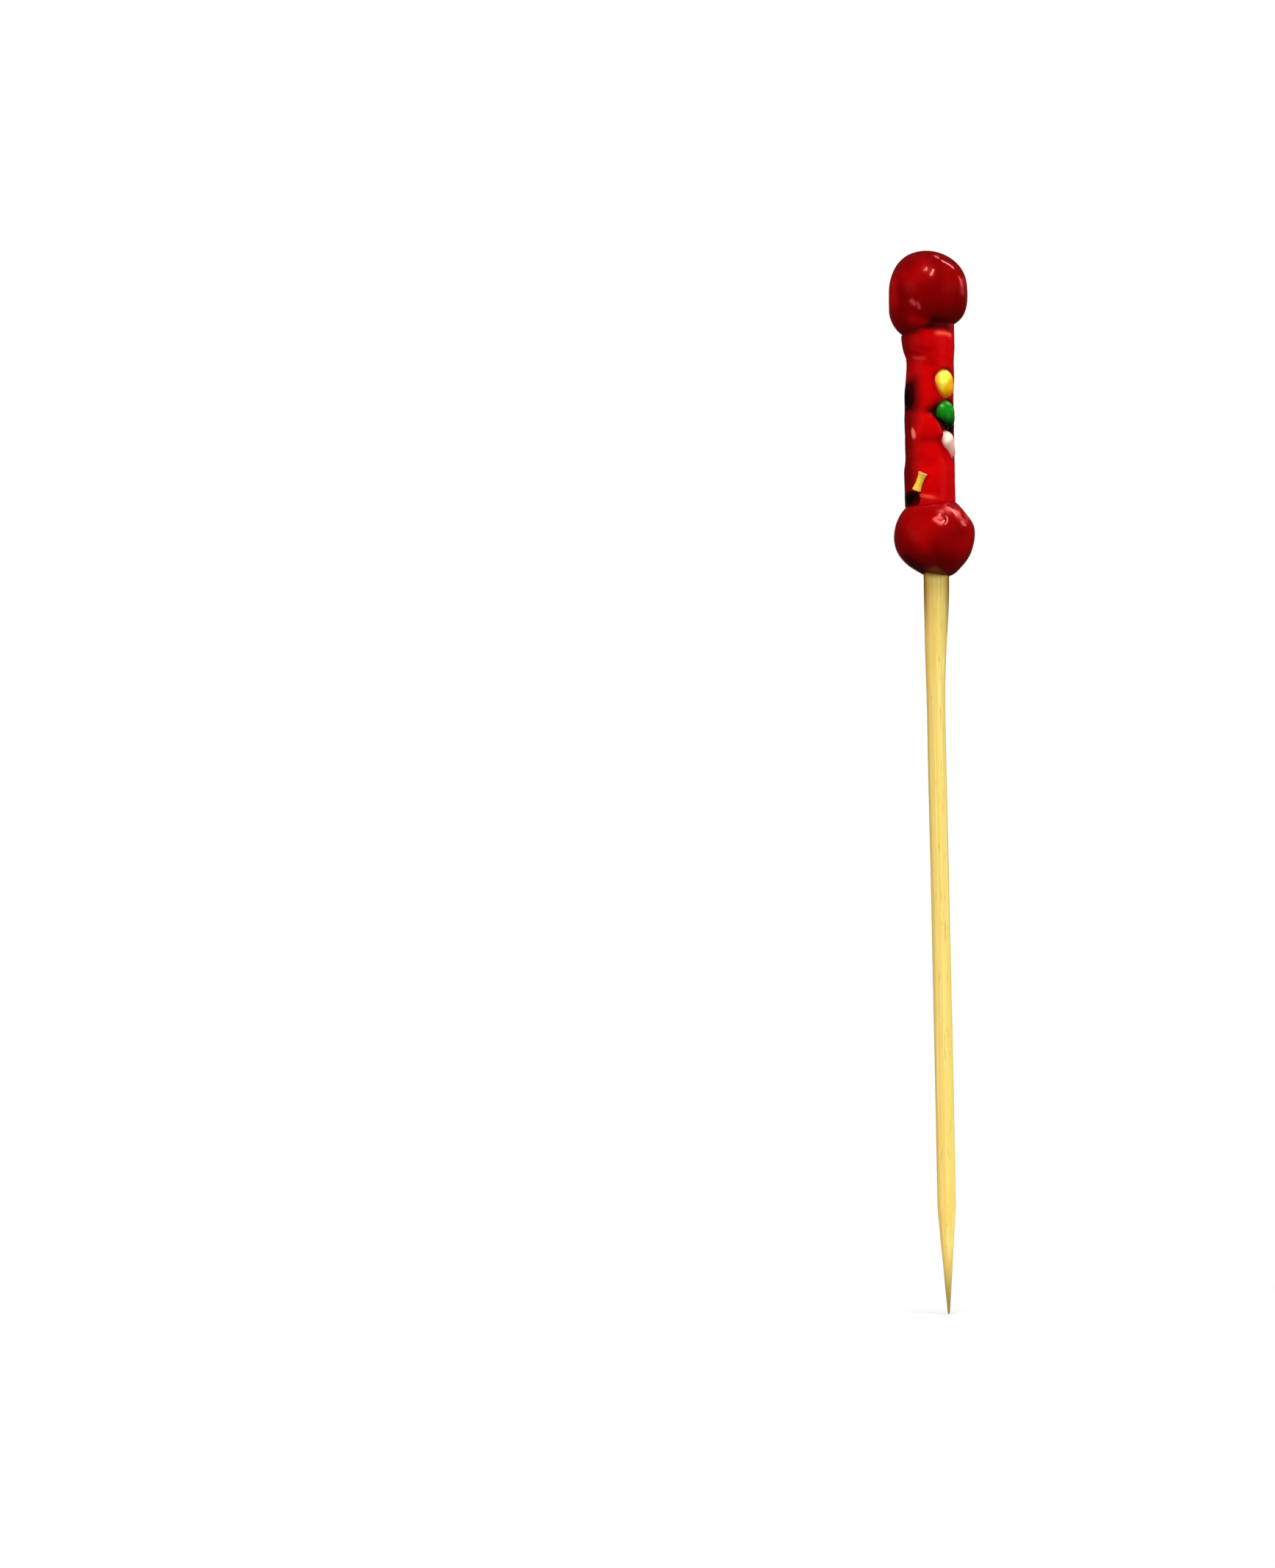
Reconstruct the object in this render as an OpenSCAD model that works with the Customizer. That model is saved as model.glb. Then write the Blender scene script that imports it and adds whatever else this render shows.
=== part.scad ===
// Ball end skewer: a pointed bamboo pick that carries two red lacquered balls,
// with a lumpy red sleeve between them, set with coloured drops, black inlays and gold spools.
// The point stands at the origin and the pick runs up along +Z.
// Turns are degrees round the pick, from the front (-Y) towards the right (+X).

/* [Pick] */
// Length of the ground point
point_length = 12.2; // [8:0.1:18]
// Width of the blunt end of the point
tip_d = 0.24; // [0.1:0.02:0.6]
// Diameter of the straight shaft
shaft_d = 2.1; // [1.8:0.05:2.5]
// Length of the straight shaft
shaft_length = 55.3; // [30:0.1:90]
// Length over which the shaft swells into the butt
swell_length = 15.8; // [8:0.1:24]
// Diameter of the butt that carries the beads
butt_d = 2.9; // [2.6:0.05:3.2]
// Chamfer round the end of the butt
butt_chamfer = 0.3; // [0.1:0.05:0.6]

/* [Balls] */
// Diameter of the lower ball
lower_ball_d = 9.2; // [8.4:0.1:10.5]
// Distance between the centres of the lower ball and of the upper ball's crown
ball_spacing = 27.7; // [25:0.1:34]
// Diameter of the upper ball at its round crown
crown_d = 8.94; // [8.2:0.02:10]
// Diameter of the upper ball at its smaller tail
tail_d = 6.96; // [6.4:0.02:7.6]
// Distance from the centre of the crown to the centre of the tail
tail_reach = 2.35; // [1.9:0.05:2.8]
// Slant of the tail away from the pick, towards the left
tail_slant = 26; // [0:1:35]
// Thickness left over the end of the blind bore
crown_wall = 3.6; // [2:0.1:5]

/* [Sleeve] */
// Mean diameter of the sleeve above the fold
sleeve_d = 5.56; // [5.4:0.02:6.2]
// Distance that the sleeve hangs over to the left of the pick
sleeve_lean = 0.2; // [0:0.01:0.4]
// Height that the collar stands out
collar_swell = 0.24; // [0.05:0.01:0.3]
// Distance of the collar's lower edge below the centre of the crown
collar_drop = 7.3; // [6.5:0.1:8.5]
// Rise and fall of the collar's edge round the sleeve
collar_wave = 0.6; // [0:0.05:1]
// Turn at which the collar's edge is lowest
collar_turn = 30; // [0:1:90]
// Depth of the waist under the collar, on the left
waist_dip = 0.33; // [0:0.01:0.38]
// Distance of the waist below the centre of the crown
waist_drop = 8.6; // [8:0.1:10]
// Half of the waist's length
waist_half_length = 2.3; // [1:0.1:3]
// Height that the lower fold stands out
fold_swell = 0.15; // [0.05:0.01:0.3]
// Mean height of the fold's edge above the centre of the lower ball
fold_height = 10.8; // [9:0.1:13]
// Rise and fall of the fold's edge round the sleeve
fold_wave = 2.8; // [0:0.1:3.5]
// Turn at which the fold's edge is highest
fold_turn = -2; // [-45:1:45]
// Length over which the collar and the fold rise
lip_length = 0.9; // [0.6:0.1:2]
// Turn at which the collar and the fold die away into the smooth side
smooth_turn = 90; // [60:1:120]
// Half width of the smooth side, in degrees
smooth_half_width = 45; // [20:1:70]

/* [Drops] */
// Height that a drop stands proud of the sleeve
drop_proud = 0.5; // [0.3:0.05:0.7]
// Depth of the pockets in the sleeve
pocket_depth = 0.5; // [0.3:0.05:0.6]
// Gap between one drop and the next in the column
drop_gap = 0.15; // [0.1:0.05:0.6]
// Width of the yellow drop
yellow_w = 2.9; // [2.4:0.05:3.1]
// Width of the yellow drop's lower end
yellow_end_w = 2.5; // [2.2:0.05:2.8]
// Length of the yellow drop
yellow_length = 3.4; // [3.2:0.1:4]
// Turn of the yellow drop
yellow_turn = 44; // [32:1:50]
// Distance of the yellow drop below the centre of the crown
yellow_below = 10.45; // [10:0.05:11]
// Slant of the yellow drop, lower end to the right
yellow_slant = -15; // [-20:1:0]
// Width of the green drop
green_w = 2.9; // [2.4:0.05:3.1]
// Length of the green drop
green_length = 3.6; // [3.2:0.1:3.8]
// Turn of the green drop
green_turn = 44; // [32:1:50]
// Width of the white drop
white_w = 2.2; // [1.8:0.05:2.4]
// Width of the white drop's lower end
white_end_w = 1.5; // [1.4:0.05:1.7]
// Length of the white drop
white_length = 3.2; // [2.6:0.1:3.6]
// Turn of the white drop
white_turn = 52; // [42:1:60]
// Slant of the white drop along the fold
white_slant = -33; // [-40:1:0]

/* [Black inlays] */
// Height that the black inlays stand proud of the sleeve
inlay_proud = 0.1; // [0.06:0.02:0.2]
// Width of the black patch at the sleeve's foot
patch_w = 2.4; // [2:0.1:3]
// Height of the black patch
patch_h = 1.8; // [1.6:0.1:2.2]
// Turn of the black patch
patch_turn = -56; // [-62:1:-48]
// Distance of the black patch above the centre of the lower ball
patch_above = 4.1; // [3.8:0.1:4.2]
// Width of the black streak
streak_w = 2; // [1.4:0.1:2.2]
// Height of the black streak
streak_h = 2.8; // [2.6:0.1:4]
// Turn of the black streak
streak_turn = -66; // [-85:1:-60]
// Distance of the black streak below the centre of the crown
streak_below = 12; // [11:0.1:13]

/* [Gold spools] */
// Diameter of a spool's ends
spool_d = 1.1; // [0.9:0.02:1.2]
// Diameter of a spool's waist
spool_waist_d = 0.82; // [0.7:0.02:0.88]
// Length of a spool
spool_length = 2.3; // [2:0.1:2.6]
// Turn of a spool
spool_turn = -31; // [-34:1:-15]
// Slant of a spool
spool_slant = 27; // [0:1:30]
// Distance of a spool above the centre of the lower ball
spool_above = 6.2; // [6.2:0.1:7.5]

/* [Fits] */
// Glue gap round the butt in the beads
glue_gap = 0.04; // [0.02:0.01:0.1]
// Gap between a ball and the sleeve's cupped end
seat_gap = 0.05; // [0.02:0.01:0.1]
// Gap between a piece of decoration and its pocket
pocket_gap = 0.03; // [0.02:0.01:0.06]

/* [Hidden] */
$fn = 96;
shaft_r = shaft_d / 2;
butt_r = butt_d / 2;
lower_r = lower_ball_d / 2;
crown_r = crown_d / 2;
tail_r = tail_d / 2;

// Heights along the pick
shaft_top = point_length + shaft_length;
swell_top = shaft_top + swell_length;
lower_z = swell_top + sqrt(lower_r * lower_r - butt_r * butt_r);
crown_z = lower_z + ball_spacing;
butt_top = crown_z + crown_r - crown_wall;

// Heights on the sleeve, above the centre of the lower ball
collar_height = ball_spacing - collar_drop;
waist_height = ball_spacing - waist_drop;
yellow_height = ball_spacing - yellow_below;
green_height = yellow_height - (yellow_length + green_length) / 2 - drop_gap;
white_half = (white_length - white_w) / 2 * cos(white_slant) + white_w / 2;
white_height = green_height - green_length / 2 - drop_gap - white_half;
streak_height = ball_spacing - streak_below;

// The sleeve's loft starts and ends inside the balls, which then trim it
widest_r = sleeve_d / 2 + sleeve_lean + collar_swell + fold_swell;
foot_height = sqrt(lower_r * lower_r - widest_r * widest_r) - lip_length / 2;
head_height = ball_spacing - sqrt(crown_r * crown_r - widest_r * widest_r) + lip_length / 2;
loft_sides = 40;
loft_rings = 34;
swell_steps = 10;
arc_steps = 14;
oval_steps = 32;
half_turn = 180;

// Raised drops: name, colour, width, width of the lower end, length, turn, height, slant
DROPS = [
    ["yellow_drop", "gold", yellow_w, yellow_end_w, yellow_length, yellow_turn, yellow_height,
     yellow_slant],
    ["green_drop", "green", green_w, green_w, green_length, green_turn, green_height, 0],
    ["white_drop", "ivory", white_w, white_end_w, white_length, white_turn, white_height, white_slant]
];

// Flush inlays: name, colour, width, height of the oval, turn, height on the sleeve
INLAYS = [
    ["black_patch", "black", patch_w, patch_h, patch_turn, patch_above],
    ["black_streak", "black", streak_w, streak_h, streak_turn, streak_height]
];

// The decoration repeats half a turn on
SIDES = [["front", 0], ["back", half_turn]];

// Smooth rise from 0 to 1 over one lip length, centred on 0
function rise(x) = let (s = max(0, min(1, x / lip_length + 0.5))) s * s * (3 - 2 * s);

// Wavy lower edge of the collar and upper edge of the fold
function collar_edge(turn) = collar_height - collar_wave * cos(2 * (turn - collar_turn));
function fold_edge(turn) = fold_height + fold_wave * cos(2 * (turn - fold_turn));

// Share of the collar and of the fold that stands out: none on the smooth side, all of it elsewhere
function standing(turn) = 1 - exp(-pow(sin((turn - smooth_turn) / 2) / sin(smooth_half_width / 2), 2));

// Radius of the sleeve's skin: a leaning round, a collar, a waist on the left and the fold
function skin_r(turn, height) =
    sleeve_d / 2
    - sleeve_lean * sin(turn)
    + collar_swell * standing(turn) * rise(height - collar_edge(turn))
    - waist_dip * exp(-pow((height - waist_height) / waist_half_length, 2)) * (1 - sin(turn)) / 2
    + fold_swell * standing(turn) * (1 - rise(height - fold_edge(turn)));

// Half outline of an egg, big end up: two arcs and the line that touches both
function egg_outline(big_r, small_r, reach) =
    let (touch = asin((small_r - big_r) / reach))
    concat(
        [for (i = [0 : arc_steps]) let (a = -90 + (touch + 90) * i / arc_steps)
            [small_r * cos(a), small_r * sin(a) - reach]],
        [for (i = [0 : arc_steps]) let (a = touch + (90 - touch) * i / arc_steps)
            [big_r * cos(a), big_r * sin(a)]]
    );

module egg(big_r, small_r, reach) {
    rotate_extrude() polygon(egg_outline(big_r, small_r, reach));
}

// Places a child under the sleeve's skin, at a turn and a height, slanting by so many degrees
module under_skin(turn, height, depth, slant) {
    rotate([0, 0, turn])
        translate([0, depth - skin_r(turn, height), lower_z + height])
            rotate([0, slant, 0])
                children();
}

// A round bar along the pick, as long as the sleeve and its seats
module core(r) {
    translate([0, 0, lower_z]) cylinder(r = r, h = ball_spacing);
}

module lower_form(grow = 0) {
    translate([0, 0, lower_z]) sphere(r = lower_r + grow);
}

module upper_form(grow = 0) {
    translate([0, 0, crown_z])
        rotate([0, tail_slant, 0])
            egg(crown_r + grow, tail_r + grow, tail_reach);
}

// The space that the butt and its glue take up in the beads
module butt_bore() {
    translate([0, 0, swell_top - lower_r])
        cylinder(r = butt_r + glue_gap, h = butt_top + glue_gap - swell_top + lower_r);
}

// A raised drop with a round face and a flat back, which lies on the floor of its pocket
module drop_form(drop, side_turn, grow = 0) {
    big_r = drop[2] / 2;
    small_r = drop[3] / 2;
    length = drop[4];
    under_skin(drop[5] + side_turn, drop[6], 0, drop[7]) difference() {
        translate([0, big_r - drop_proud, length / 2 - big_r])
            egg(big_r + grow, small_r + grow, length - big_r - small_r);
        translate([-length, pocket_depth + grow, -length])
            cube([2 * length, 2 * length, 2 * length]);
    }
}

// An oval plug that follows the sleeve's round and stays clear of the lower ball
module inlay_form(inlay, side_turn, grow = 0) {
    half_w = inlay[2] / 2 + grow;
    half_h = inlay[3] / 2 + grow;
    turn = inlay[4] + side_turn;
    height = inlay[5];
    skin = skin_r(turn, height);
    difference() {
        intersection() {
            under_skin(turn, height, skin, 0)
                rotate([90, 0, 0])
                    linear_extrude(height = sleeve_d)
                        polygon([for (i = [0 : oval_steps - 1]) let (a = 360 * i / oval_steps)
                            [half_w * cos(a), half_h * sin(a)]]);
            core(skin + inlay_proud + grow);
        }
        core(skin - pocket_depth - grow);
        lower_form(seat_gap - grow);
    }
}

// A waisted bar that lies half sunk in the skin
module spool_form(side_turn, grow = 0) {
    end_r = spool_d / 2 + grow;
    waist_r = spool_waist_d / 2 + grow;
    half = spool_length / 2 + grow;
    under_skin(spool_turn + side_turn, spool_above, 0, spool_slant)
        rotate_extrude()
            polygon(concat(
                [[0, -half]],
                [for (i = [-arc_steps : arc_steps]) let (u = i / arc_steps)
                    [waist_r + (end_r - waist_r) * u * u, half * u]],
                [[0, half]]
            ));
}

// Lumpy skin of the sleeve, as a loft of rings
module sleeve_loft() {
    points = [for (ring = [0 : loft_rings], side = [0 : loft_sides - 1])
        let (
            height = foot_height + (head_height - foot_height) * ring / loft_rings,
            turn = 360 * side / loft_sides,
            r = skin_r(turn, height)
        )
        [r * sin(turn), -r * cos(turn), lower_z + height]];
    walls = [for (ring = [0 : loft_rings - 1], side = [0 : loft_sides - 1])
        let (
            a = ring * loft_sides + side,
            b = ring * loft_sides + (side + 1) % loft_sides
        )
        each [[a, a + loft_sides, b], [b, a + loft_sides, b + loft_sides]]];
    foot = [for (side = [0 : loft_sides - 1]) side];
    head = [for (side = [loft_sides - 1 : -1 : 0]) loft_rings * loft_sides + side];
    polyhedron(points, concat(walls, [foot, head]));
}

module bamboo_pick() {
    color("burlywood") rotate_extrude() polygon(concat(
        [[0, 0], [tip_d / 2, 0], [shaft_r, point_length]],
        [for (i = [0 : swell_steps]) let (share = i / swell_steps)
            [shaft_r + (butt_r - shaft_r) * (1 - cos(half_turn * share)) / 2,
             shaft_top + swell_length * share]],
        [[butt_r, butt_top - butt_chamfer], [butt_r - butt_chamfer, butt_top], [0, butt_top]]
    ));
}

module lower_ball() {
    color("firebrick") difference() {
        lower_form();
        butt_bore();
    }
}

module upper_ball() {
    color("firebrick") difference() {
        upper_form();
        butt_bore();
    }
}

module red_sleeve() {
    color("red") difference() {
        sleeve_loft();
        lower_form(seat_gap);
        upper_form(seat_gap);
        butt_bore();
        for (side = SIDES) {
            for (drop = DROPS) drop_form(drop, side[1], pocket_gap);
            for (inlay = INLAYS) inlay_form(inlay, side[1], pocket_gap);
            spool_form(side[1], pocket_gap);
        }
    }
}

module raised_drop(drop, side_turn) {
    color(drop[1]) drop_form(drop, side_turn);
}

module black_inlay(inlay, side_turn) {
    color(inlay[1]) inlay_form(inlay, side_turn);
}

module gold_spool(side_turn) {
    color("goldenrod") spool_form(side_turn);
}

bamboo_pick();
lower_ball();
red_sleeve();
upper_ball();
for (side = SIDES) {
    for (drop = DROPS)
        raised_drop(drop, side[1]);
    for (inlay = INLAYS)
        black_inlay(inlay, side[1]);
    gold_spool(side[1]);
}
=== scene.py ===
import math

import bpy
import numpy as np
from mathutils import Matrix, Vector


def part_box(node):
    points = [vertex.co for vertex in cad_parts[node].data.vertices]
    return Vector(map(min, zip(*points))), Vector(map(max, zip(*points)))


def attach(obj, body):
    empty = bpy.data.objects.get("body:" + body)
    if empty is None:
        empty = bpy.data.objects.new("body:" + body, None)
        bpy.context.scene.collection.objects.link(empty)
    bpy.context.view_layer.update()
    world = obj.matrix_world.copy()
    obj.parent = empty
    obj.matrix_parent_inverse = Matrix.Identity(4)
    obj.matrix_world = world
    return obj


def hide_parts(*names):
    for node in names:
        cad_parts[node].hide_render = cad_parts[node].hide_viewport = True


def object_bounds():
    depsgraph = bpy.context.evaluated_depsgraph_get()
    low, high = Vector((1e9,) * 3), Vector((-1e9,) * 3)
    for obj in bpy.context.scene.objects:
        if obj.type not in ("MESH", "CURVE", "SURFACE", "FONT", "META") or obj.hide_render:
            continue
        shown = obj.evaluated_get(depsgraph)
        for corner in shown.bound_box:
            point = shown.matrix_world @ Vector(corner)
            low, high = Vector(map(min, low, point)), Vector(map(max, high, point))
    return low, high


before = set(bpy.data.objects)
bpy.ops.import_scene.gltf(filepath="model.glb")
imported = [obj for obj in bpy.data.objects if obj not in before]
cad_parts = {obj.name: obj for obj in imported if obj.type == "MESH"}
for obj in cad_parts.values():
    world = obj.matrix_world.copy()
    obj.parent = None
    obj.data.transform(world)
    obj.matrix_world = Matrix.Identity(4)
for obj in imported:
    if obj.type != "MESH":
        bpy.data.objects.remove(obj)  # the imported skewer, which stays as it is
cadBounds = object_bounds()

mm = 0.001  # lengths below are in millimetres and become metres when a mesh is made
fullTurn = 2 * math.pi
sideTurns = {"Front": 0, "Back": 180}  # the decoration repeats half a turn on, in degrees
print("frame loaded with", len(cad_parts), "nodes")


# Curves and noise that the surfaces share
def ease(x, low, high):  # 0 below low, 1 above high, an S curve between
    share = np.clip((x - low) / (high - low), 0, 1)
    return share * share * (3 - 2 * share)


def span(x, riseFrom, riseTo, fallFrom, fallTo):  # eases up to 1 and, further on, down to 0 again
    return ease(x, riseFrom, riseTo) * (1 - ease(x, fallFrom, fallTo))


def bell(x, width):  # 1 at 0, falling off to both sides over one width
    return np.exp(-((x / width) ** 2))


def band(away, where, strength, at, width, ends):  # stripe at one distance away, with soft ends
    return strength * bell(away - at, width) * span(where, *ends)


# Sum of plane waves in random directions, each about one size long, so no surface gets a seam from it
def lumps(points, size, height=1.0, *, seed, count=12):
    draw = np.random.default_rng(seed)
    heading = draw.normal(size=(count, 3))
    heading /= np.linalg.norm(heading, axis=1, keepdims=True)
    length = size * draw.uniform(0.7, 1.6, count)
    phase = draw.uniform(0, fullTurn, count)
    waves = np.cos(fullTurn * (points @ heading.T) / length + phase)
    return height * (waves.sum(-1) / math.sqrt(count))


# Largest value between low and high that is still inside, found by halving, for every entry at once
def lastInside(inside, low, high, steps=40):
    low, high = np.float64(low), np.float64(high)
    for step in range(steps):
        middle = (low + high) / 2
        found = inside(middle)
        low, high = np.where(found, middle, low), np.where(found, high, middle)
    return low


# Distance outside a ball that shrinks evenly along a line into a smaller ball, from the distances down the
# line and off it: each point is measured to the nearest of the balls in between
def taperedBall(downLine, offLine, bigR, smallR, reach):
    shrink = bigR - smallR
    tilt = shrink / math.sqrt(reach**2 - shrink**2)
    share = np.clip((downLine - offLine * tilt) / reach, 0, 1)
    return np.hypot(offLine, downLine - share * reach) - (bigR - share * shrink)


def onAxis(radius, turn, height):  # points round the pick, turned from the front to the right
    return np.stack(np.broadcast_arrays(radius * np.sin(turn), -radius * np.cos(turn), height), -1)


def turnFrom(turn, degrees):  # turn measured from another one, between half a turn back and half a turn on
    return (turn - math.radians(degrees) + math.pi) % fullTurn - math.pi


def evenTurns(count):  # one row of turns
    return np.arange(count)[None, :] / count * fullTurn


def readBox(node):  # corners of a CAD node in millimetres
    low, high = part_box(node)
    return np.array(low) / mm, np.array(high) / mm


# Quads between neighbouring rings, wrapped round each ring; joined ties the last ring to the first
def ringFaces(ringCount, sideCount, joined=False):
    ring = np.arange(ringCount if joined else ringCount - 1)[:, None] * sideCount
    nextRing = (ring + sideCount) % (ringCount * sideCount)
    side = np.arange(sideCount)[None, :]
    nextSide = (side + 1) % sideCount
    return np.stack([ring + side, ring + nextSide, nextRing + nextSide, nextRing + side], -1).reshape(-1, 4)


def fanFaces(firstPoint, sideCount, pole):  # triangles between one ring and a pole
    side = firstPoint + np.arange(sideCount)
    return np.stack([side, np.roll(side, -1), np.full(sideCount, pole)], -1)


# Puts a smooth mesh into the scene; marks are values that its points carry for the shader
def addMesh(name, points, faces, material, marks):
    mesh = bpy.data.meshes.new(name)
    mesh.from_pydata((points * mm).tolist(), [], faces)
    mesh.shade_smooth()
    for mark, value in marks.items():
        mesh.attributes.new(mark, "FLOAT", "POINT").data.foreach_set("value", value.astype(np.float32))
    mesh.materials.append(material)
    piece = bpy.data.objects.new(name, mesh)
    bpy.context.scene.collection.objects.link(piece)
    return piece


# A closed piece from rings of points; open ends get a fan to the middle of their ring
def addPiece(name, node, slotName, material, rings, marks, joined=False):
    ringCount, sideCount = rings.shape[:2]
    points = rings.reshape(-1, 3)
    faces = ringFaces(ringCount, sideCount, joined).tolist()
    marks = {mark: value.reshape(-1) for mark, value in marks.items()}
    if not joined:
        faces += fanFaces(0, sideCount, len(points))[:, ::-1].tolist()
        faces += fanFaces(len(points) - sideCount, sideCount, len(points) + 1).tolist()
        points = np.vstack([points, rings[0].mean(0), rings[-1].mean(0)])
        for mark, value in marks.items():
            marks[mark] = np.append(value, [value[:sideCount].mean(), value[-sideCount:].mean()])
    piece = addMesh(name, points, faces, material, marks)
    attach(piece, "root")
    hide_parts(node)
    print("piece", name, "with", len(faces), "faces")


# Adds a decoration on both sides of the sleeve; shape gives its rings and marks for a turn in degrees
def addDecoration(name, node, slotName, material, shape):
    for side, sideTurn in sideTurns.items():
        addPiece(name + side, node + "_" + side.lower(), slotName, material, *shape(sideTurn))


# Node helpers
def colour(red, green, blue):  # a screen colour, 0 to 255, as the linear values that a socket takes
    screen = np.array([red, green, blue]) / 255
    linear = np.where(screen <= 0.04045, screen / 12.92, ((screen + 0.055) / 1.055) ** 2.4)
    return (*linear.tolist(), 1.0)


def setInputs(tree, node, inputs):  # links what is a socket and sets the rest
    for key, value in inputs.items():
        if isinstance(value, bpy.types.NodeSocket):
            tree.links.new(value, node.inputs[key])
        else:
            node.inputs[key].default_value = value


def addNode(tree, kind, inputs=None, **settings):
    node = tree.nodes.new(kind)
    for key, value in settings.items():
        setattr(node, key, value)
    setInputs(tree, node, inputs or {})
    return node


def mixColours(tree, share, first, second):
    return addNode(tree, "ShaderNodeMix", {0: share, 6: first, 7: second}, data_type="RGBA").outputs[2]


def mixValues(tree, share, first, second):
    return addNode(tree, "ShaderNodeMix", {0: share, 2: first, 3: second}).outputs[0]


def mapRange(tree, value, fromLow, fromHigh, toLow=0.0, toHigh=1.0):
    limits = {"Value": value, "From Min": fromLow, "From Max": fromHigh, "To Min": toLow, "To Max": toHigh}
    return addNode(tree, "ShaderNodeMapRange", limits, interpolation_type="SMOOTHSTEP").outputs["Result"]


def doMath(tree, operation, *values):
    return addNode(tree, "ShaderNodeMath", dict(enumerate(values)), operation=operation).outputs[0]


def noise(tree, place, scale, detail=2.0):
    return addNode(tree, "ShaderNodeTexNoise", {"Vector": place, "Scale": scale, "Detail": detail}).outputs[0]


def perMetre(size):  # noise scale for features of a size in millimetres
    return 1 / (size * mm)


def mark(tree, name):  # a value that the piece carries on its own points
    return addNode(tree, "ShaderNodeAttribute", attribute_name=name).outputs["Fac"]


def newGroup(name, inputs, output, outputKind):
    group = bpy.data.node_groups.new(name, "ShaderNodeTree")
    for socketName, kind in inputs.items():
        group.interface.new_socket(socketName, in_out="INPUT", socket_type="NodeSocket" + kind)
    group.interface.new_socket(output, in_out="OUTPUT", socket_type="NodeSocket" + outputKind)
    return group, addNode(group, "NodeGroupInput").outputs, addNode(group, "NodeGroupOutput").inputs[output]


def useGroup(tree, group, inputs):
    return addNode(tree, "ShaderNodeGroup", inputs, node_tree=group).outputs[0]


# Slow drift of a coat between its plain, deep and pale tones
def makeToneDrift():
    sockets = {"Place": "Vector", "Plain": "Color", "Deep": "Color", "Pale": "Color", "Scale": "Float"}
    group, given, result = newGroup("toneDrift", sockets, "Colour", "Color")
    slow = noise(group, given["Place"], given["Scale"], 3.0)
    quick = noise(group, given["Place"], doMath(group, "MULTIPLY", given["Scale"], 2.6), 4.0)
    deepened = mixColours(group, mapRange(group, slow, 0.36, 0.62), given["Deep"], given["Plain"])
    paled = mixColours(group, mapRange(group, quick, 0.55, 0.78), deepened, given["Pale"])
    group.links.new(paled, result)
    return group


# Height of the soft ripples that a dipped coat dries with, and of its fine orange peel
def makeDipRipple():
    sockets = {"Place": "Vector", "Scale": "Float", "Peel Scale": "Float", "Peel Share": "Float"}
    group, given, result = newGroup("dipRipple", sockets, "Height", "Float")
    ripple = noise(group, given["Place"], given["Scale"], 1.0)
    peel = noise(group, given["Place"], given["Peel Scale"])
    group.links.new(doMath(group, "MULTIPLY_ADD", peel, given["Peel Share"], ripple), result)
    return group


# Mask of pinholes and dust in a coat: the middles of a few of many small cells
def makePinSpecks():
    sockets = {"Place": "Vector", "Scale": "Float", "Share": "Float"}
    group, given, result = newGroup("pinSpecks", sockets, "Mask", "Float")
    cells = addNode(group, "ShaderNodeTexVoronoi", {"Vector": given["Place"], "Scale": given["Scale"]})
    dot = mapRange(group, cells.outputs["Distance"], 0.12, 0.22, 1.0, 0.0)
    chance = addNode(group, "ShaderNodeSeparateColor", {0: cells.outputs["Color"]}).outputs[0]
    kept = doMath(group, "LESS_THAN", chance, given["Share"])
    group.links.new(doMath(group, "MULTIPLY", dot, kept), result)
    return group


toneDrift = makeToneDrift()
dipRipple = makeDipRipple()
pinSpecks = makePinSpecks()
speckRoughness = 0.2  # specks are duller than the coat round them


def newMaterial(name, look):  # look holds the sockets that are the same all over
    material = bpy.data.materials.new(name)
    material.use_nodes = True
    tree = material.node_tree
    shader = tree.nodes["Principled BSDF"]
    setInputs(tree, shader, look)
    return material, tree, shader, addNode(tree, "ShaderNodeTexCoord").outputs["Object"]


def bump(tree, height, distance, strength=1.0):
    inputs = {"Height": height, "Distance": distance * mm, "Strength": strength}
    return addNode(tree, "ShaderNodeBump", inputs).outputs["Normal"]


# Links a coat's colour, with specks, its drifting gloss and matt places, and its ripple to the shader
def finishCoat(tree, shader, place, baseColour, coat):
    specks = useGroup(tree, pinSpecks, {
        "Place": place, "Scale": perMetre(coat["speckSize"]), "Share": coat["speckShare"]})
    ripple = useGroup(tree, dipRipple, {
        "Place": place, "Scale": perMetre(coat["rippleSize"]),
        "Peel Scale": perMetre(coat["peelSize"]), "Peel Share": coat["peelShare"]})
    middle, drift = coat["roughness"], coat["roughnessDrift"]
    cloud = noise(tree, place, perMetre(coat["glossSize"]))
    rough = mapRange(tree, cloud, 0.3, 0.7, middle - drift, middle + drift)
    rough = doMath(tree, "MULTIPLY_ADD", specks, speckRoughness, rough)
    if "mattMark" in coat:
        rough = doMath(tree, "MULTIPLY_ADD", mark(tree, coat["mattMark"]), coat["mattRoughness"], rough)
    specked = mixColours(tree, specks, baseColour, coat["speckColour"])
    rippled = bump(tree, ripple, coat["rippleHeight"])
    setInputs(tree, shader, {"Base Color": specked, "Roughness": rough, "Normal": rippled})


# Material of a coat whose tone drifts, with the colours of its marks laid over it one after another
def makeCoat(name, coat):
    material, tree, shader, place = newMaterial(name, coat["look"])
    tone = useGroup(tree, toneDrift, {
        "Place": place, "Plain": coat["plain"], "Deep": coat["deep"], "Pale": coat["pale"],
        "Scale": perMetre(coat["driftSize"])})
    for markName, markColour in coat["laidOver"].items():
        tone = mixColours(tree, mark(tree, markName), tone, markColour)
    finishCoat(tree, shader, place, tone, coat)
    return material


print("node groups made")

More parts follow.
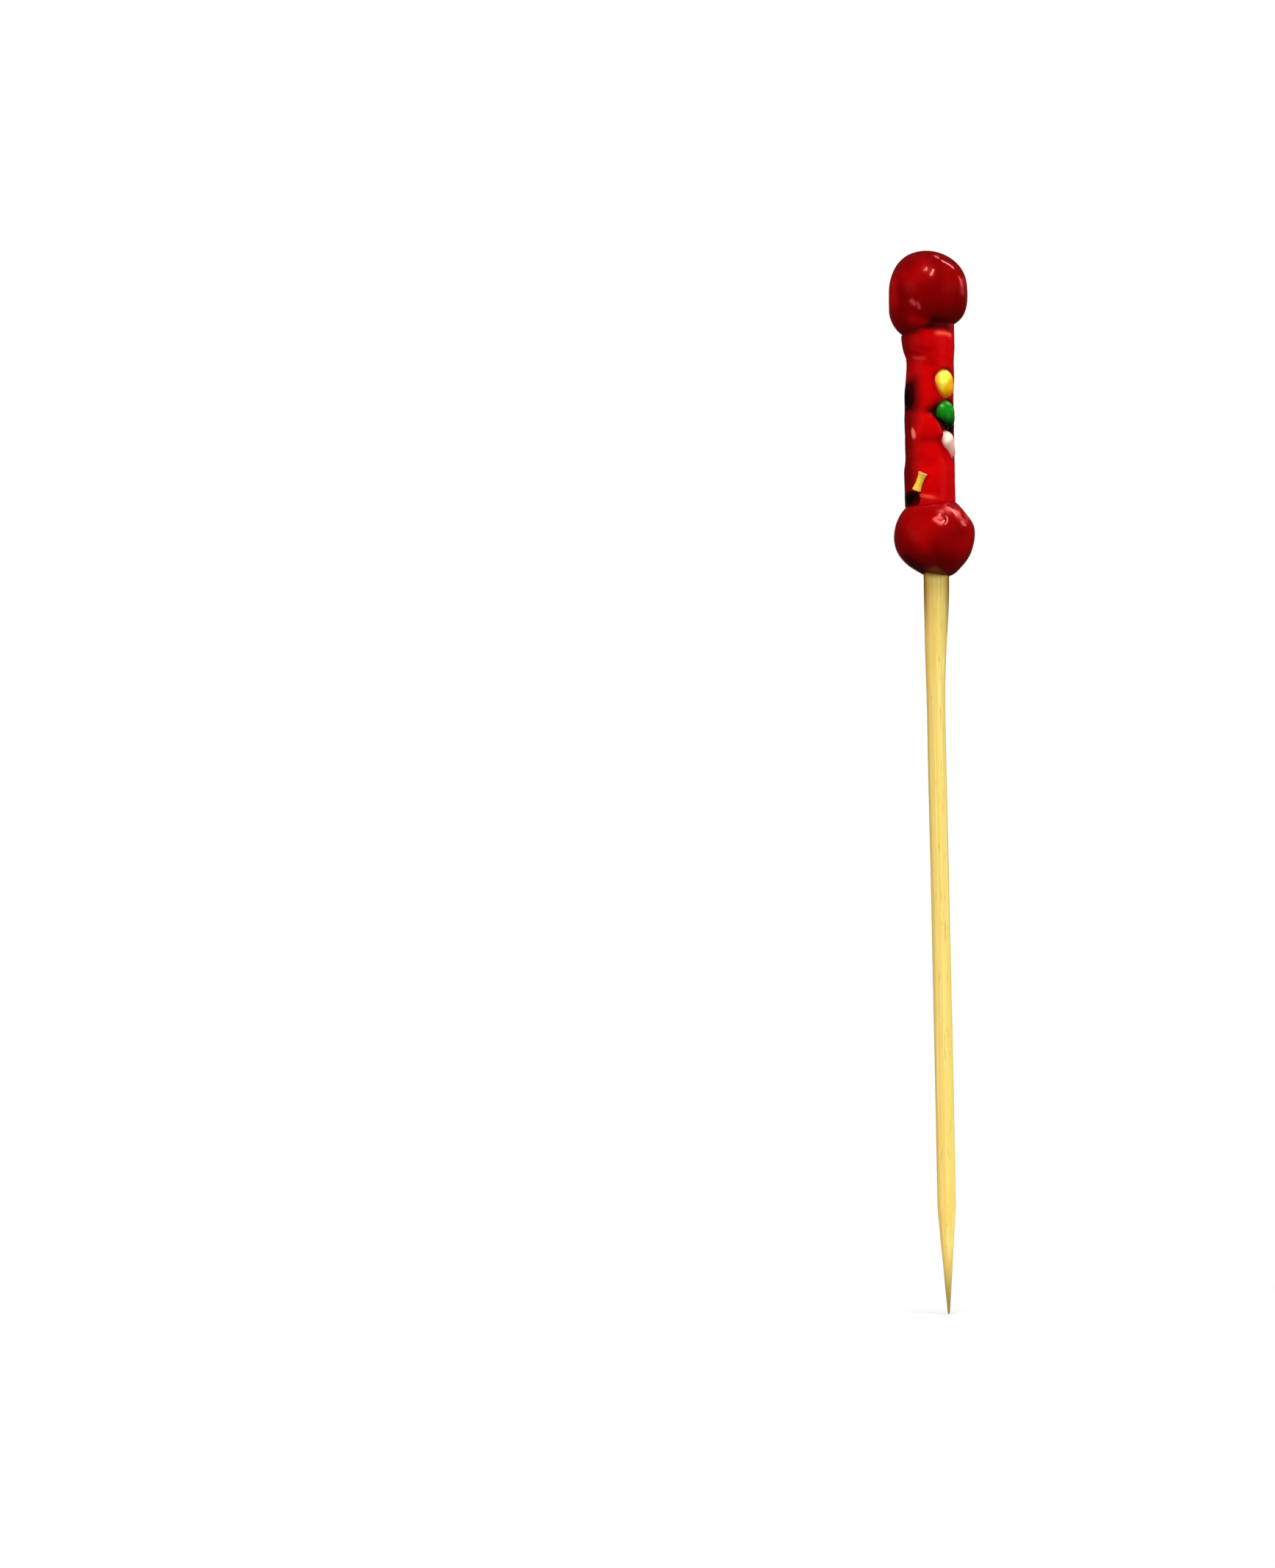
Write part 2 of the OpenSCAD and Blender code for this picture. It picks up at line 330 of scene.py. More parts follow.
# Landmarks of the frame
ballLow, ballHigh = readBox("lower_ball")
lowerZ = (ballLow[2] + ballHigh[2]) / 2
lowerR = (ballHigh[0] - ballLow[0]) / 2
crownR = readBox("upper_ball")[1][0]
crownZ = readBox("upper_ball")[1][2] - crownR
spacing = crownZ - lowerZ
pickLow, pickHigh = readBox("bamboo_pick")
buttR = (pickHigh[0] - pickLow[0]) / 2
swellTop = lowerZ - math.sqrt(lowerR**2 - buttR**2)

# Bamboo pick
pick = {
    "sides": 96, "rings": (60, 200, 130, 60, 14),  # rings on the point, shaft, swell, butt and its end
    "tipR": 0.12, "pointLength": 12.2, "shaftR": 1.05, "swellLength": 15.8, "chamfer": 0.3,
    "fibreSize": 0.4, "fibreHeight": 0.012, "fibreStretch": 0.02,  # ridges that run along the pick
    "flatDepth": 0.035, "flats": 5, "flatTwist": 0.12,  # flats left by grinding the point
    "rightBow": 0.27, "rightBowLength": 13, "leftBow": 0.09, "leftBowAt": 63, "leftBowHalf": 17,
    "longGrain": (1, 1, 0.012), "shortGrain": (1, 1, 0.05), "grainHeight": 0.02, "grainStrength": 0.8,
    "bandSize": 0.9, "fibreLineSize": 0.22, "dashSize": 0.14,
    "straw": colour(243, 218, 116), "honey": colour(238, 200, 104), "cream": colour(250, 232, 150),
    # shade is a colour of painted shade, and skin one of painted shade and painted shadow
    "dash": colour(200, 150, 70), "shade": colour(196, 158, 72), "tipStain": colour(128, 108, 44),
    "skin": colour(122, 92, 30), "lacquered": colour(84, 26, 12),
}


# Honey-coloured wood, with one tone after another laid over it: grain first, then by height and mark a warm
# tone, painted shade under the beads, towards the tip and along the edges, lacquer at the butt and a stain at
# the tip
def makeBamboo():
    material, tree, shader, place = newMaterial("bambooWood", {"Specular IOR Level": 0.25})

    def grain(stretch, size, detail):
        stretched = addNode(tree, "ShaderNodeMapping", {"Vector": place, "Scale": pick[stretch]}).outputs[0]
        return noise(tree, stretched, perMetre(pick[size]), detail)

    def byHeight(low, high, atLow, atHigh):
        return mapRange(tree, height, low * mm, high * mm, atLow, atHigh)

    height = addNode(tree, "ShaderNodeSeparateXYZ", {0: place}).outputs["Z"]
    bands = grain("longGrain", "bandSize", 3.0)
    fibres = grain("longGrain", "fibreLineSize", 3.0)
    dashes = grain("shortGrain", "dashSize", 2.0)
    layers = (
        ("straw", mapRange(tree, bands, 0.36, 0.64)),
        ("cream", mapRange(tree, fibres, 0.5, 0.72)),
        ("dash", mapRange(tree, dashes, 0.6, 0.74, 0.0, 0.75)),
        ("honey", mark(tree, "warm")),
        # painted shade: darker under the beads and towards the tip
        ("shade", byHeight(76, swellTop, 0.0, 0.22)),
        ("shade", byHeight(4, 30, 0.3, 0.0)),
        # the skin mark: painted shade along the edges and a painted shadow under the lower ball
        ("skin", mark(tree, "skin")),
        ("lacquered", byHeight(swellTop - 0.2, swellTop + 0.5, 0.0, 0.9)),
        ("tipStain", byHeight(0, 9, 0.95, 0.0)),
    )
    wood = pick["honey"]
    for tone, share in layers:
        wood = mixColours(tree, share, wood, pick[tone])
    rough = mapRange(tree, dashes, 0.3, 0.7, 0.5, 0.68)
    ridges = bump(tree, doMath(tree, "ADD", fibres, dashes), pick["grainHeight"], pick["grainStrength"])
    setInputs(tree, shader, {"Base Color": wood, "Roughness": rough, "Normal": ridges})
    return material


# Split bamboo is never quite straight: it bends to the right just under the beads and a little to the left
# half way down
def pickBow(height):
    right = span(height, swellTop - pick["rightBowLength"], swellTop, swellTop + 1, lowerZ + 1)
    left = bell(height - pick["leftBowAt"], pick["leftBowHalf"])
    return pick["rightBow"] * right - pick["leftBow"] * left


# Painted shade along both edges near the beads and down both sides, more on the left, a warm tone left of the
# front, and a painted shadow just under the lower ball; painted shade and shadow make up the skin mark
def pickMarks(turn, height):
    edgeShade = bell(np.abs(turnFrom(turn, 0)) - 1.35, 0.55) * ease(height, swellTop - 10, swellTop - 1)
    sideShade = bell(turnFrom(turn, -78), 0.5) + 0.35 * bell(turnFrom(turn, 78), 0.4)
    shadowUnderBall = 0.8 * ease(height, swellTop - 0.65, swellTop + 0.3)
    warm = bell(turnFrom(turn, -45), 0.6) * (0.3 + 0.5 * ease(height, swellTop - 22, swellTop - 8))
    return {"warm": warm, "skin": np.maximum(np.maximum(edgeShade, 0.36 * sideShade), shadowUnderBall)}


# Round bar whose radius follows the height: a blunt tip, a cone, a straight shaft, a half cosine swell and a
# butt with a chamfer; fibres add fine ridges along it and grinding leaves flats on the cone
def pickRings():
    tipR, shaftR, pointLength = pick["tipR"], pick["shaftR"], pick["pointLength"]
    shaftTop = swellTop - pick["swellLength"]
    buttTop = pickHigh[2]
    stops = (0.01, pointLength, shaftTop, swellTop, buttTop - pick["chamfer"], buttTop)
    stretches = zip(stops, stops[1:], pick["rings"])
    heights = [np.linspace(low, high, count, endpoint=False) for low, high, count in stretches]
    height = np.concatenate(heights + [stops[-1:]])[:, None]
    turn = evenTurns(pick["sides"])
    cone = tipR + (shaftR - tipR) * np.clip(height / pointLength, 0, 1)
    blunt = np.sqrt(np.clip(height / (2 * tipR), 0, 1))
    swellShare = np.clip((height - shaftTop) / pick["swellLength"], 0, 1)
    swell = (buttR - shaftR) * (1 - np.cos(math.pi * swellShare)) / 2
    end = np.clip(height - buttTop + pick["chamfer"], 0, None)
    radius = cone * blunt + swell - end
    ground = blunt * (1 - ease(height, pointLength - 1.5, pointLength + 0.5))
    flats = pick["flatDepth"] * ground * np.cos(pick["flats"] * turn + pick["flatTwist"] * height)
    squeezed = onAxis(radius, turn, height) * [1, 1, pick["fibreStretch"]]
    fibres = lumps(squeezed, pick["fibreSize"], pick["fibreHeight"], seed=3)
    rings = onAxis(radius + (flats + fibres) * cone / shaftR - pick["fibreHeight"], turn, height)
    rings[..., 0] += pickBow(height)
    return rings, pickMarks(turn, height)


addPiece("bambooPick", "bamboo_pick", "bamboo", makeBamboo(), *pickRings())

# Red lacquer of the two balls
lacquer = {
    "look": {"Specular IOR Level": 0.5, "Specular Tint": (1.0, 0.3, 0.28, 1.0)},
    "plain": colour(140, 2, 2), "deep": colour(128, 1, 3), "pale": colour(152, 3, 3), "driftSize": 3.2,
    # laid over in turn: dark red for painted shade and pooled lacquer, brighter red for painted light, and
    # pale pink for painted highlights and a painted reflection
    "laidOver": {"shadeAndPooling": colour(66, 1, 2), "paintedLight": colour(198, 3, 8), "paintedHighlight": colour(250, 96, 96)},
    "roughness": 0.12, "roughnessDrift": 0.03, "glossSize": 1.6, "mattMark": "matt", "mattRoughness": 0.16,
    "rippleSize": 1.8, "rippleHeight": 0.012, "peelSize": 0.3, "peelShare": 0.06,
    "speckSize": 0.5, "speckShare": 0.03, "speckColour": colour(118, 2, 4),
}
redLacquer = makeCoat("redLacquer", lacquer)


# Spots and strokes on a ball
def angleFrom(heading, towards):  # angle between directions and one fixed direction
    return np.arccos(np.clip(heading @ (np.array(towards) / np.linalg.norm(towards)), -1, 1))


def spots(heading, places):  # sum of bells round directions, each with its strength and width
    return sum(strength * bell(angleFrom(heading, towards), width) for towards, strength, width in places)


def fromLine(points, start, end):  # distance of points from a short straight line
    start, way = np.array(start), np.subtract(end, start)
    share = np.clip((points - start) @ way / (way @ way), 0, 1)
    return np.linalg.norm(points - start - share[..., None] * way, axis=-1)


# Soft strokes on the front of a ball, along lines given sideways and upwards from the ball's middle
def strokes(points, lines):
    inFront = ease(-points[..., 1], -0.6, 0.6)
    return [strength * inFront * bell(fromLine(points[..., [0, 2]], start, end), width)
            for start, end, width, strength in lines]


def painted(paint, heading, points):  # sum of the spots and strokes of one kind of mark
    return spots(heading, paint["spots"]) + sum(strokes(points, paint["strokes"]))


# How far a ball's face lies from its true round: long lumps, short ripples and bell-shaped presses
def waver(heading, points, ball, seed):
    uneven = lumps(points, *ball["lumps"], seed=seed) + lumps(points, *ball["ripples"], seed=seed + 1)
    return uneven - spots(heading, ball["presses"])


# Marks of a ball: darker lacquer at its ends, part painted shade and part pooled lacquer, painted shade and
# painted light in the places its paint lists give, and painted highlight strokes, which can make the lacquer
# matt too
def ballMarks(ball, heading, points, ends):
    highlightShare = np.maximum.reduce(strokes(points, ball["highlightStrokes"]))
    return {"shadeAndPooling": np.clip(ends + painted(ball["shade"], heading, points), 0, 1),
            "paintedLight": painted(ball["paintedLight"], heading, points),
            "paintedHighlight": highlightShare, "matt": ball["highlightMatt"] * highlightShare}


# Adds rows for the rings out of sight, before or after those seen: 0 for every mark but shade and pooling
def withHidden(marks, before, after, shadeAndPooling):
    values = {"shadeAndPooling": shadeAndPooling}
    return {name: np.pad(value, ((before, after), (0, 0)), constant_values=values.get(name, 0))
            for name, value in marks.items()}


# Lower ball; spots have a direction, strength and width, strokes a start, end, width and strength, and lumps
# and ripples a size and a height
lowerBall = {
    "sides": 200, "rings": 150, "boreRings": 10, "boreGap": 0.04, "mouthRound": 0.12, "bowFrom": 0.8,
    "presses": (  # where the ball isn't round
        ((-1.0, 0.0, 0.1), 0.12, 0.75), ((-0.616, 0.0, -0.788), 0.24, 0.44),
        ((-0.24, -0.87, 0.43), 0.3, 0.36), ((-0.28, -0.35, -0.9), 0.3, 0.3), ((0.1, 0.1, -1.0), -0.24, 0.5),
        ((1.0, 0.0, 0.24), -0.14, 0.3), ((0.78, 0.0, 0.62), 0.14, 0.28), ((0.46, -0.86, 0.16), -0.42, 0.4),
        ((0.66, -0.75, -0.05), 0.22, 0.28), ((0.17, -0.9, 0.4), 0.05, 0.12)),
    "dapple": (((0.2, -0.9, 0.38), 0.016, 0.3),), "dappleSize": 1.0,
    "lumps": (5.0, 0.03), "ripples": (1.2, 0.004),
    # a painted reflection of a lamp in a band round the upper right, broken up by noise and made matt
    "reflectionBand": (((1.6, 2.95), (2.7, 2.5), 0.4, 1.0), ((2.7, 2.5), (3.5, 1.95), 0.4, 1.0)),
    "reflectionBandSize": 1.1, "reflectionBandPaint": 0.75,
    "highlightStrokes": (  # painted highlights
        ((0.05, 1.84), (0.6, 2.12), 0.18, 0.8), ((0.05, 1.82), (0.72, 1.34), 0.18, 0.8),
        ((0.6, 2.12), (0.78, 1.92), 0.16, 0.8), ((0.76, 2.7), (1.0, 2.75), 0.22, 0.4)),
    "highlightMatt": 0.0,
    "dull": (((-0.8, -4.2), (0.9, -4.3), 0.6, 2.5),),  # the underside isn't polished
    "below": 0.52,  # darker at the foot: part painted shade, part pooled lacquer
    "shade": {
        "spots": (((-0.95, -0.3, -0.1), 0.35, 0.55),),
        "strokes": (((0.3, -0.7), (0.5, -2.2), 0.5, 0.2), ((-3.2, -2.3), (-1.5, -3.8), 0.45, 0.6))},
    # painted light on the lit places of the ball
    "paintedLight": {
        "spots": (((0.88, -0.45, -0.1), 0.3, 0.4), ((-0.32, -0.9, 0.3), 0.2, 0.45)),
        "strokes": (((-2.2, 3.3), (-1.4, 3.6), 0.4, 0.3), ((-1.4, -0.4), (-1.1, -1.4), 0.6, 0.35),
                    ((1.4, -1.0), (3.0, -1.6), 0.9, 0.22))},
}


# Sphere between two mouths, by latitude and turn, with its presses; its lower mouth and its bore follow the
# bow of the pick, and the bore closes it inside
def lowerBallRings():
    ball = lowerBall
    boreR = buttR + ball["boreGap"]
    mouthAngle = math.acos((boreR + ball["mouthRound"]) / lowerR)
    latitude = np.linspace(-mouthAngle, mouthAngle, ball["rings"])[:, None]
    turn = evenTurns(ball["sides"])
    heading = onAxis(np.cos(latitude), turn, np.sin(latitude))
    points = heading * lowerR
    change = waver(heading, points, ball, seed=11)
    change += spots(heading, ball["dapple"]) * lumps(points, ball["dappleSize"], seed=14)
    points += heading * change[..., None]
    points[..., 0] += pickBow(points[..., 2] + lowerZ) * ease(-latitude, ball["bowFrom"], mouthAngle)
    foot, head = points[0, :, 2], points[-1, :, 2]
    share = np.linspace(0.01, 0.99, ball["boreRings"])[:, None]
    bore = onAxis(boreR, turn, head + (foot - head) * share)
    bore[..., 0] += pickBow(bore[..., 2] + lowerZ)
    marks = ballMarks(ball, heading, points, ball["below"] * ease(-np.sin(latitude), 0.05, 1.0))
    # the painted reflection band, broken up by noise, lays on pale pink and makes the lacquer matt
    patchy = ease(lumps(points, ball["reflectionBandSize"], seed=13), -1.2, 0.8)
    reflectionBand = patchy * np.maximum.reduce(strokes(points, ball["reflectionBand"]))
    marks["paintedHighlight"] = np.maximum(marks["paintedHighlight"], ball["reflectionBandPaint"] * reflectionBand)
    marks["matt"] = np.maximum.reduce([marks["matt"], reflectionBand, *strokes(points, ball["dull"])])
    rings = np.concatenate([points, bore]) + [0, 0, lowerZ]
    return rings, withHidden(marks, 0, ball["boreRings"], shadeAndPooling=1)


addPiece("lowerBall", "lower_ball", "red_lacquer", redLacquer, *lowerBallRings(), joined=True)

# Upper ball, with its settings written as for the lower one
upperBall = {
    "sides": 200, "rings": 170, "boreRings": 12, "capRings": 6, "boreGap": 0.04, "mouthRound": 0.1,
    "tailR": 3.48, "tailReach": 2.35, "tailSlant": 26, "coreDrop": 0.8, "topAngle": 0.01,
    "presses": (((-0.5, 0.0, 0.85), -0.18, 0.45), ((1.0, 0.0, 0.15), 0.1, 0.4),
                ((0.84, -0.05, -0.54), -0.38, 0.5)),
    "lumps": (5.5, 0.03), "ripples": (1.6, 0.004),
    # painted highlights, with matt lacquer under them: two strokes low on the left and one down the right rim
    "highlightStrokes": (((-2.05, -1.3), (-1.7, -1.65), 0.22, 0.42), ((-1.35, -1.55), (-1.2, -2.1), 0.15, 0.42),
               ((3.7, 1.0), (3.75, -0.5), 0.22, 0.2)),
    "highlightMatt": 2.4, "below": 0.42, "above": 0.45,  # darker at the foot and at the top: part painted shade, part pooled lacquer
    "shade": {
        "spots": (((0.5, -0.5, -0.7), 0.22, 0.6),),
        "strokes": (((0.55, -3.5), (1.4, -3.75), 0.5, 0.9), ((-3.15, 0.5), (-3.0, -2.1), 0.6, 0.26),
                    ((0.0, 0.2), (2.8, 0.1), 0.9, 0.16))},
    # painted light on the lit places of the ball
    "paintedLight": {
        "spots": (),
        "strokes": (((-4.0, 0.8), (-4.0, -1.4), 0.4, 0.42), ((-2.0, -3.4), (-0.8, -3.7), 0.5, 0.5),
                    ((-1.9, 1.3), (-0.5, 2.6), 1.0, 0.22))},
}


# Distance outside the upper ball, which runs on into a smaller tail
def tailedBall(points):
    slant = math.radians(upperBall["tailSlant"])
    fromCrown = points - np.array([0, 0, crownZ])
    downLine = fromCrown @ [-math.sin(slant), 0, -math.cos(slant)]
    offLine = np.sqrt(np.maximum((fromCrown**2).sum(-1) - downLine**2, 0))
    return taperedBall(downLine, offLine, crownR, upperBall["tailR"], upperBall["tailReach"])


# Every point lies where a ray from the core leaves the tailed ball; rays run from the bore's mouth to the
# top, and the bore and its flat end close the ball inside
def upperBallRings():
    ball = upperBall
    boreR = buttR + ball["boreGap"]
    core = np.array([0, 0, crownZ - ball["coreDrop"]])
    beyond = 2.5 * crownR  # a distance from the core that is outside everywhere
    turn = evenTurns(ball["sides"])

    def leaves(polar):
        heading = onAxis(np.sin(polar), turn, np.cos(polar))
        return heading, lastInside(lambda far: tailedBall(core + heading * far[..., None]) < 0, 0, beyond)

    def clearOfBore(polar):
        return leaves(polar)[1] * np.sin(polar) > boreR + ball["mouthRound"]

    lowest = lastInside(clearOfBore, math.pi / 2, math.pi)
    polar = lowest + (ball["topAngle"] - lowest) * np.linspace(0, 1, ball["rings"])[:, None]
    heading, reach = leaves(polar)
    points = core + heading * reach[..., None]
    points += heading * waver(heading, points, ball, seed=23)[..., None]
    mouth = points[0, :, 2]
    boreTop = pickHigh[2] + ball["boreGap"]
    cap = onAxis(boreR * np.linspace(0.04, 0.98, ball["capRings"])[:, None], turn, boreTop)
    share = np.linspace(0, 0.99, ball["boreRings"])[:, None]
    bore = onAxis(boreR, turn, boreTop + (mouth - boreTop) * share)
    placed = points - [0, 0, crownZ]
    upward = placed[..., 2]
    ends = ball["below"] * ease(-upward, 0.0, 5.5) + ball["above"] * ease(upward, 0.8, 3.2)
    marks = ballMarks(ball, heading, placed, ends)
    rings = np.concatenate([cap, bore, points])
    return rings, withHidden(marks, ball["capRings"] + ball["boreRings"], 0, shadeAndPooling=1)


addPiece("upperBall", "upper_ball", "red_lacquer", redLacquer, *upperBallRings())

# Raised drops, black inlays and gold spools: sizes, places on the sleeve in degrees, colours of the drops and
# the shares of their length where those blend; the frame gives the heights
pocketDepth = 0.5  # of the pockets in the sleeve that they sit in
pocketGap = 0.04
# foot, middle and head colours: painted shade, the drop's own colour and painted light, blended along a line
# turned by fadeTowards degrees
drops = {
    "yellow": {
        "width": 2.9, "endWidth": 2.75, "length": 3.55, "turn": 44, "slant": -15, "proud": 0.5, "sag": 0.12,
        "shadow": 0.28, "shadowReach": (0.1, 0.65), "fadeTowards": 36,
        "foot": colour(250, 140, 8), "footBlend": (0.16, 0.56), "middle": colour(246, 190, 10),
        "head": colour(254, 246, 84), "headBlend": (0.52, 0.74), "rim": colour(238, 136, 16)},
    "green": {
        "width": 2.9, "endWidth": 2.9, "length": 3.6, "turn": 44, "slant": 0, "proud": 0.5, "sag": 0,
        "cutTowards": 226, "cutAt": 1.05,  # the lobe lies over its lower left
        "shadow": 1.0, "shadowReach": (0.3, 1.0), "fadeTowards": -15,
        "foot": colour(8, 12, 4), "footBlend": (0.14, 0.62), "middle": colour(2, 124, 6),
        "head": colour(92, 184, 58), "headBlend": (0.76, 1.0), "rim": colour(20, 104, 12)},
    "white": {
        "width": 2.3, "endWidth": 1.5, "length": 3.5, "turn": 52, "slant": -33, "proud": 0.44, "sag": -0.1,
        "shadow": 0.45, "shadowReach": (0.1, 0.65), "fadeTowards": 0,
        "foot": colour(254, 136, 124), "footBlend": (0.1, 0.46), "middle": colour(250, 196, 180),
        "head": colour(252, 240, 218), "headBlend": (0.54, 0.78), "rim": colour(238, 164, 146)},
}
inlays = {
    # ring is the strength of the painted shadow round each inlay
    "Patch": {"width": 2.4, "height": 1.8, "turn": -56, "slant": 0, "lift": 0.1,
              "softEdge": 0.2, "wedge": 1.0, "ring": 0.9, "squareness": 3},
    "Streak": {"width": 2.0, "height": 2.8, "turn": -66, "slant": 0, "lift": 0.05,
               "softEdge": 0.45, "wedge": 0.0, "ring": 0.5, "squareness": 2},
}
spool = {"endR": 0.55, "waistR": 0.41, "length": 2.15, "turn": -29.5, "slant": 24, "edge": 0.1, "sag": 0.06,
         "shadow": 0.25, "shadowWidth": 0.15}


def middleRise(node):  # height of a node's middle over the lower ball's
    low, high = readBox(node)
    return (low[2] + high[2]) / 2 - lowerZ


for tone, drop in drops.items():
    drop["rise"] = middleRise(tone + "_drop_front") - drop["sag"]
for form, inlay in inlays.items():
    inlay["rise"] = readBox("black_" + form.lower() + "_front")[1][2] - inlay["height"] / 2 - lowerZ
spool["rise"] = middleRise("gold_spool_front") - spool["sag"]

# Red sleeve and its parts. Heights are over the lower ball's middle. Rolls, creases and dips have a height, a
# place and a width; slopes and ends say, in radians, where a part comes in and goes out.
sleeve = {
    "sides": 288, "skinRings": 260, "seatRings": 10, "boreRings": 6,
    "cupGap": 0.05, "boreGap": 0.04, "edgeRound": 0.12, "edgeWidth": 0.12, "footShare": 0.3,
    "radius": 2.78, "lean": 0.2, "smoothTurn": 90, "smoothHalf": 45,
    "waistDip": 0.33, "waistDrop": 8.6, "waistHalf": 2.3,
    "rightSwell": 0.13, "rightFrom": 15.5, "rightTo": 18,
    "lumps": (4.0, 0.045), "ripples": (1.2, 0.01),
}
collar = {
    "height": spacing - 7.45, "wave": -0.5, "turn": 30, "swell": 0.24, "half": 1.1, "growth": 0.25,
    "smoothShare": 0.45, "roll": (0.05, 0.3, 0.3), "crease": (0.05, -0.3, 0.25),
}
fold = {"height": 10.8, "wave": 2.8, "turn": -2, "swell": 0.15, "half": 1.0}
lobe = {
    "height": 13.7, "fall": 4.6, "slope": (-0.1, 1.06, 1.06, 1.83), "ends": (-0.8, -0.1, 0.6, 0.95),
    "lift": 0.09, "flankLift": 0.2, "flankEnds": (0.15, 0.4, 0.75, 1.0),
    "crease": (0.06, 0.55, 0.45), "dip": (0.06, 10.75, 0.45),
}
neck = {
    "height": spacing - 4.9, "fall": 0.25, "slope": (0.5, 1.1, 1.9, 2.9), "ends": (0.0, 0.45, 0.55, 1.4),
    "dip": 0.15,
}
footLip = {"height": 4.42, "fall": 0.5, "turn": -15, "roll": 0.08, "width": 0.26, "half": 0.45}
blister = {
    "height": 11.6, "turn": -44.5, "slant": 0.25, "lift": 0.12, "width": 0.35, "taper": 0.14, "half": 0.75,
}


def wavyEdge(turn, part):  # two waves round the sleeve
    return part["height"] + part["wave"] * np.cos(2 * (turn - math.radians(part["turn"])))


def aheadOf(turn):  # turn from the nearer set of decoration, between 75 degrees back and 105 degrees on
    return (turn + math.radians(75)) % math.pi - math.radians(75)


def lobeEdge(turn):  # top edge of the lobe below the fold: level on the left, falling off to the right
    return lobe["height"] - lobe["fall"] * span(aheadOf(turn), *lobe["slope"])


def neckEdge(turn):  # the collar's top rim falls towards the right
    return neck["height"] - neck["fall"] * span(turnFrom(turn, 0), *neck["slope"])


def footEdge(turn):  # the lip at the foot falls evenly, by so much for a radian
    return footLip["height"] - footLip["fall"] * turnFrom(turn, footLip["turn"])


def standing(turn):  # share of the collar and fold that stands out: none on the smooth right side
    halfAway = np.sin((turn - math.radians(sleeve["smoothTurn"])) / 2)
    return 1 - bell(halfAway, math.sin(math.radians(sleeve["smoothHalf"]) / 2))


def waistShare(rise):  # bell round the height of the waist
    return bell(rise - spacing + sleeve["waistDrop"], sleeve["waistHalf"])


# Leaning round, plus a collar above one wavy edge and a fold below another, less a waist on the left
def skinRadius(turn, rise):
    half = collar["half"] * (1 + collar["growth"] * ease(np.sin(turn), -0.4, 0.3))
    raised = collar["swell"] * ease(rise - wavyEdge(turn, collar), -half, half)
    raised = raised * (collar["smoothShare"] + (1 - collar["smoothShare"]) * standing(turn))
    folded = fold["swell"] * (1 - ease(rise - wavyEdge(turn, fold), -fold["half"], fold["half"]))
    waist = sleeve["waistDip"] * waistShare(rise) * (1 - np.sin(turn)) / 2
    return sleeve["radius"] - sleeve["lean"] * np.sin(turn) + raised + folded * standing(turn) - waist


def seatRadius(thing, sideTurn):  # radius of the skin at the middle of a decoration
    return skinRadius(math.radians(thing["turn"] + sideTurn), thing["rise"])


def ridge(away, height, place, width):  # bell-shaped ridge at a place away from an edge
    return height * bell(away - place, width)


# Roll along the collar's edge and crease under it, both on the left only
def collarRelief(turn, rise):
    leftness, above = -np.sin(turn), rise - wavyEdge(turn, collar)
    onLeft = ease(leftness, -0.1, 0.4) * (1 - 0.8 * ease(leftness, 0.75, 1.0))
    return (ridge(above, *collar["roll"]) - ridge(above, *collar["crease"])) * onLeft


# Lobe that rises to an edge, higher on its right flank, with a crease over the edge and a dip under the lobe
def lobeRelief(turn, rise):
    ahead, above = aheadOf(turn), rise - lobeEdge(turn)
    flank = span(ahead, *lobe["flankEnds"])
    rolled = span(above, -3.2, -0.8, -0.6 + 0.3 * flank, 0.3 - 0.2 * flank)
    lifted = (lobe["lift"] + lobe["flankLift"] * flank) * rolled
    return (lifted - ridge(above, *lobe["crease"]) - ridge(rise, *lobe["dip"])) * span(ahead, *lobe["ends"])


def neckRelief(turn, rise):  # step in over the collar's rim, on the right
    return -neck["dip"] * ease(rise - neckEdge(turn), -0.2, 0.25) * span(turnFrom(turn, 0), *neck["ends"])


def onFootLip(turn, rise, width, half):  # share of the lip at the foot, from its width and half its turn
    return bell(rise - footEdge(turn), width) * bell(turnFrom(turn, footLip["turn"]), half)


def rightRelief(turn, rise):  # swelling of the smooth side, under the collar
    return sleeve["rightSwell"] * ease(rise, sleeve["rightFrom"], sleeve["rightTo"]) * (1 - standing(turn))


def blisterShare(turn, rise):  # a small slanting blister in the glaze, on the fold's shoulder
    upward = rise - blister["height"]
    sideways = sleeve["radius"] * turnFrom(turn, blister["turn"]) + blister["slant"] * upward
    width = blister["width"] - blister["taper"] * np.clip(upward, -0.8, 0.8)
    return bell(sideways, width) * bell(upward, blister["half"])


def skinRelief(turn, rise):  # sum of what stands out from the skin or lies in it
    lip = footLip["roll"] * onFootLip(turn, rise, footLip["width"], footLip["half"])
    raised = lip + blister["lift"] * blisterShare(turn, rise)
    return raised + sum(part(turn, rise) for part in (collarRelief, lobeRelief, neckRelief, rightRelief))


def slanted(thing, right, up):  # across and along a decoration, from its slant
    slant = math.radians(thing["slant"])
    return right * math.cos(slant) - up * math.sin(slant), right * math.sin(slant) + up * math.cos(slant)


# Distance across and along from a decoration's middle, and how square on to it the skin lies; what lies round
# the back gets a distance that is far outside
def localPlace(radius, turn, rise, thing, sideTurn):
    away = turnFrom(turn, thing["turn"] + sideTurn)
    across, along = slanted(thing, radius * np.sin(away), rise - thing["rise"])
    near, outside = np.cos(away) > 0.5, 99.0
    return np.where(near, across, outside), np.where(near, along, outside), np.where(near, np.cos(away), 1.0)


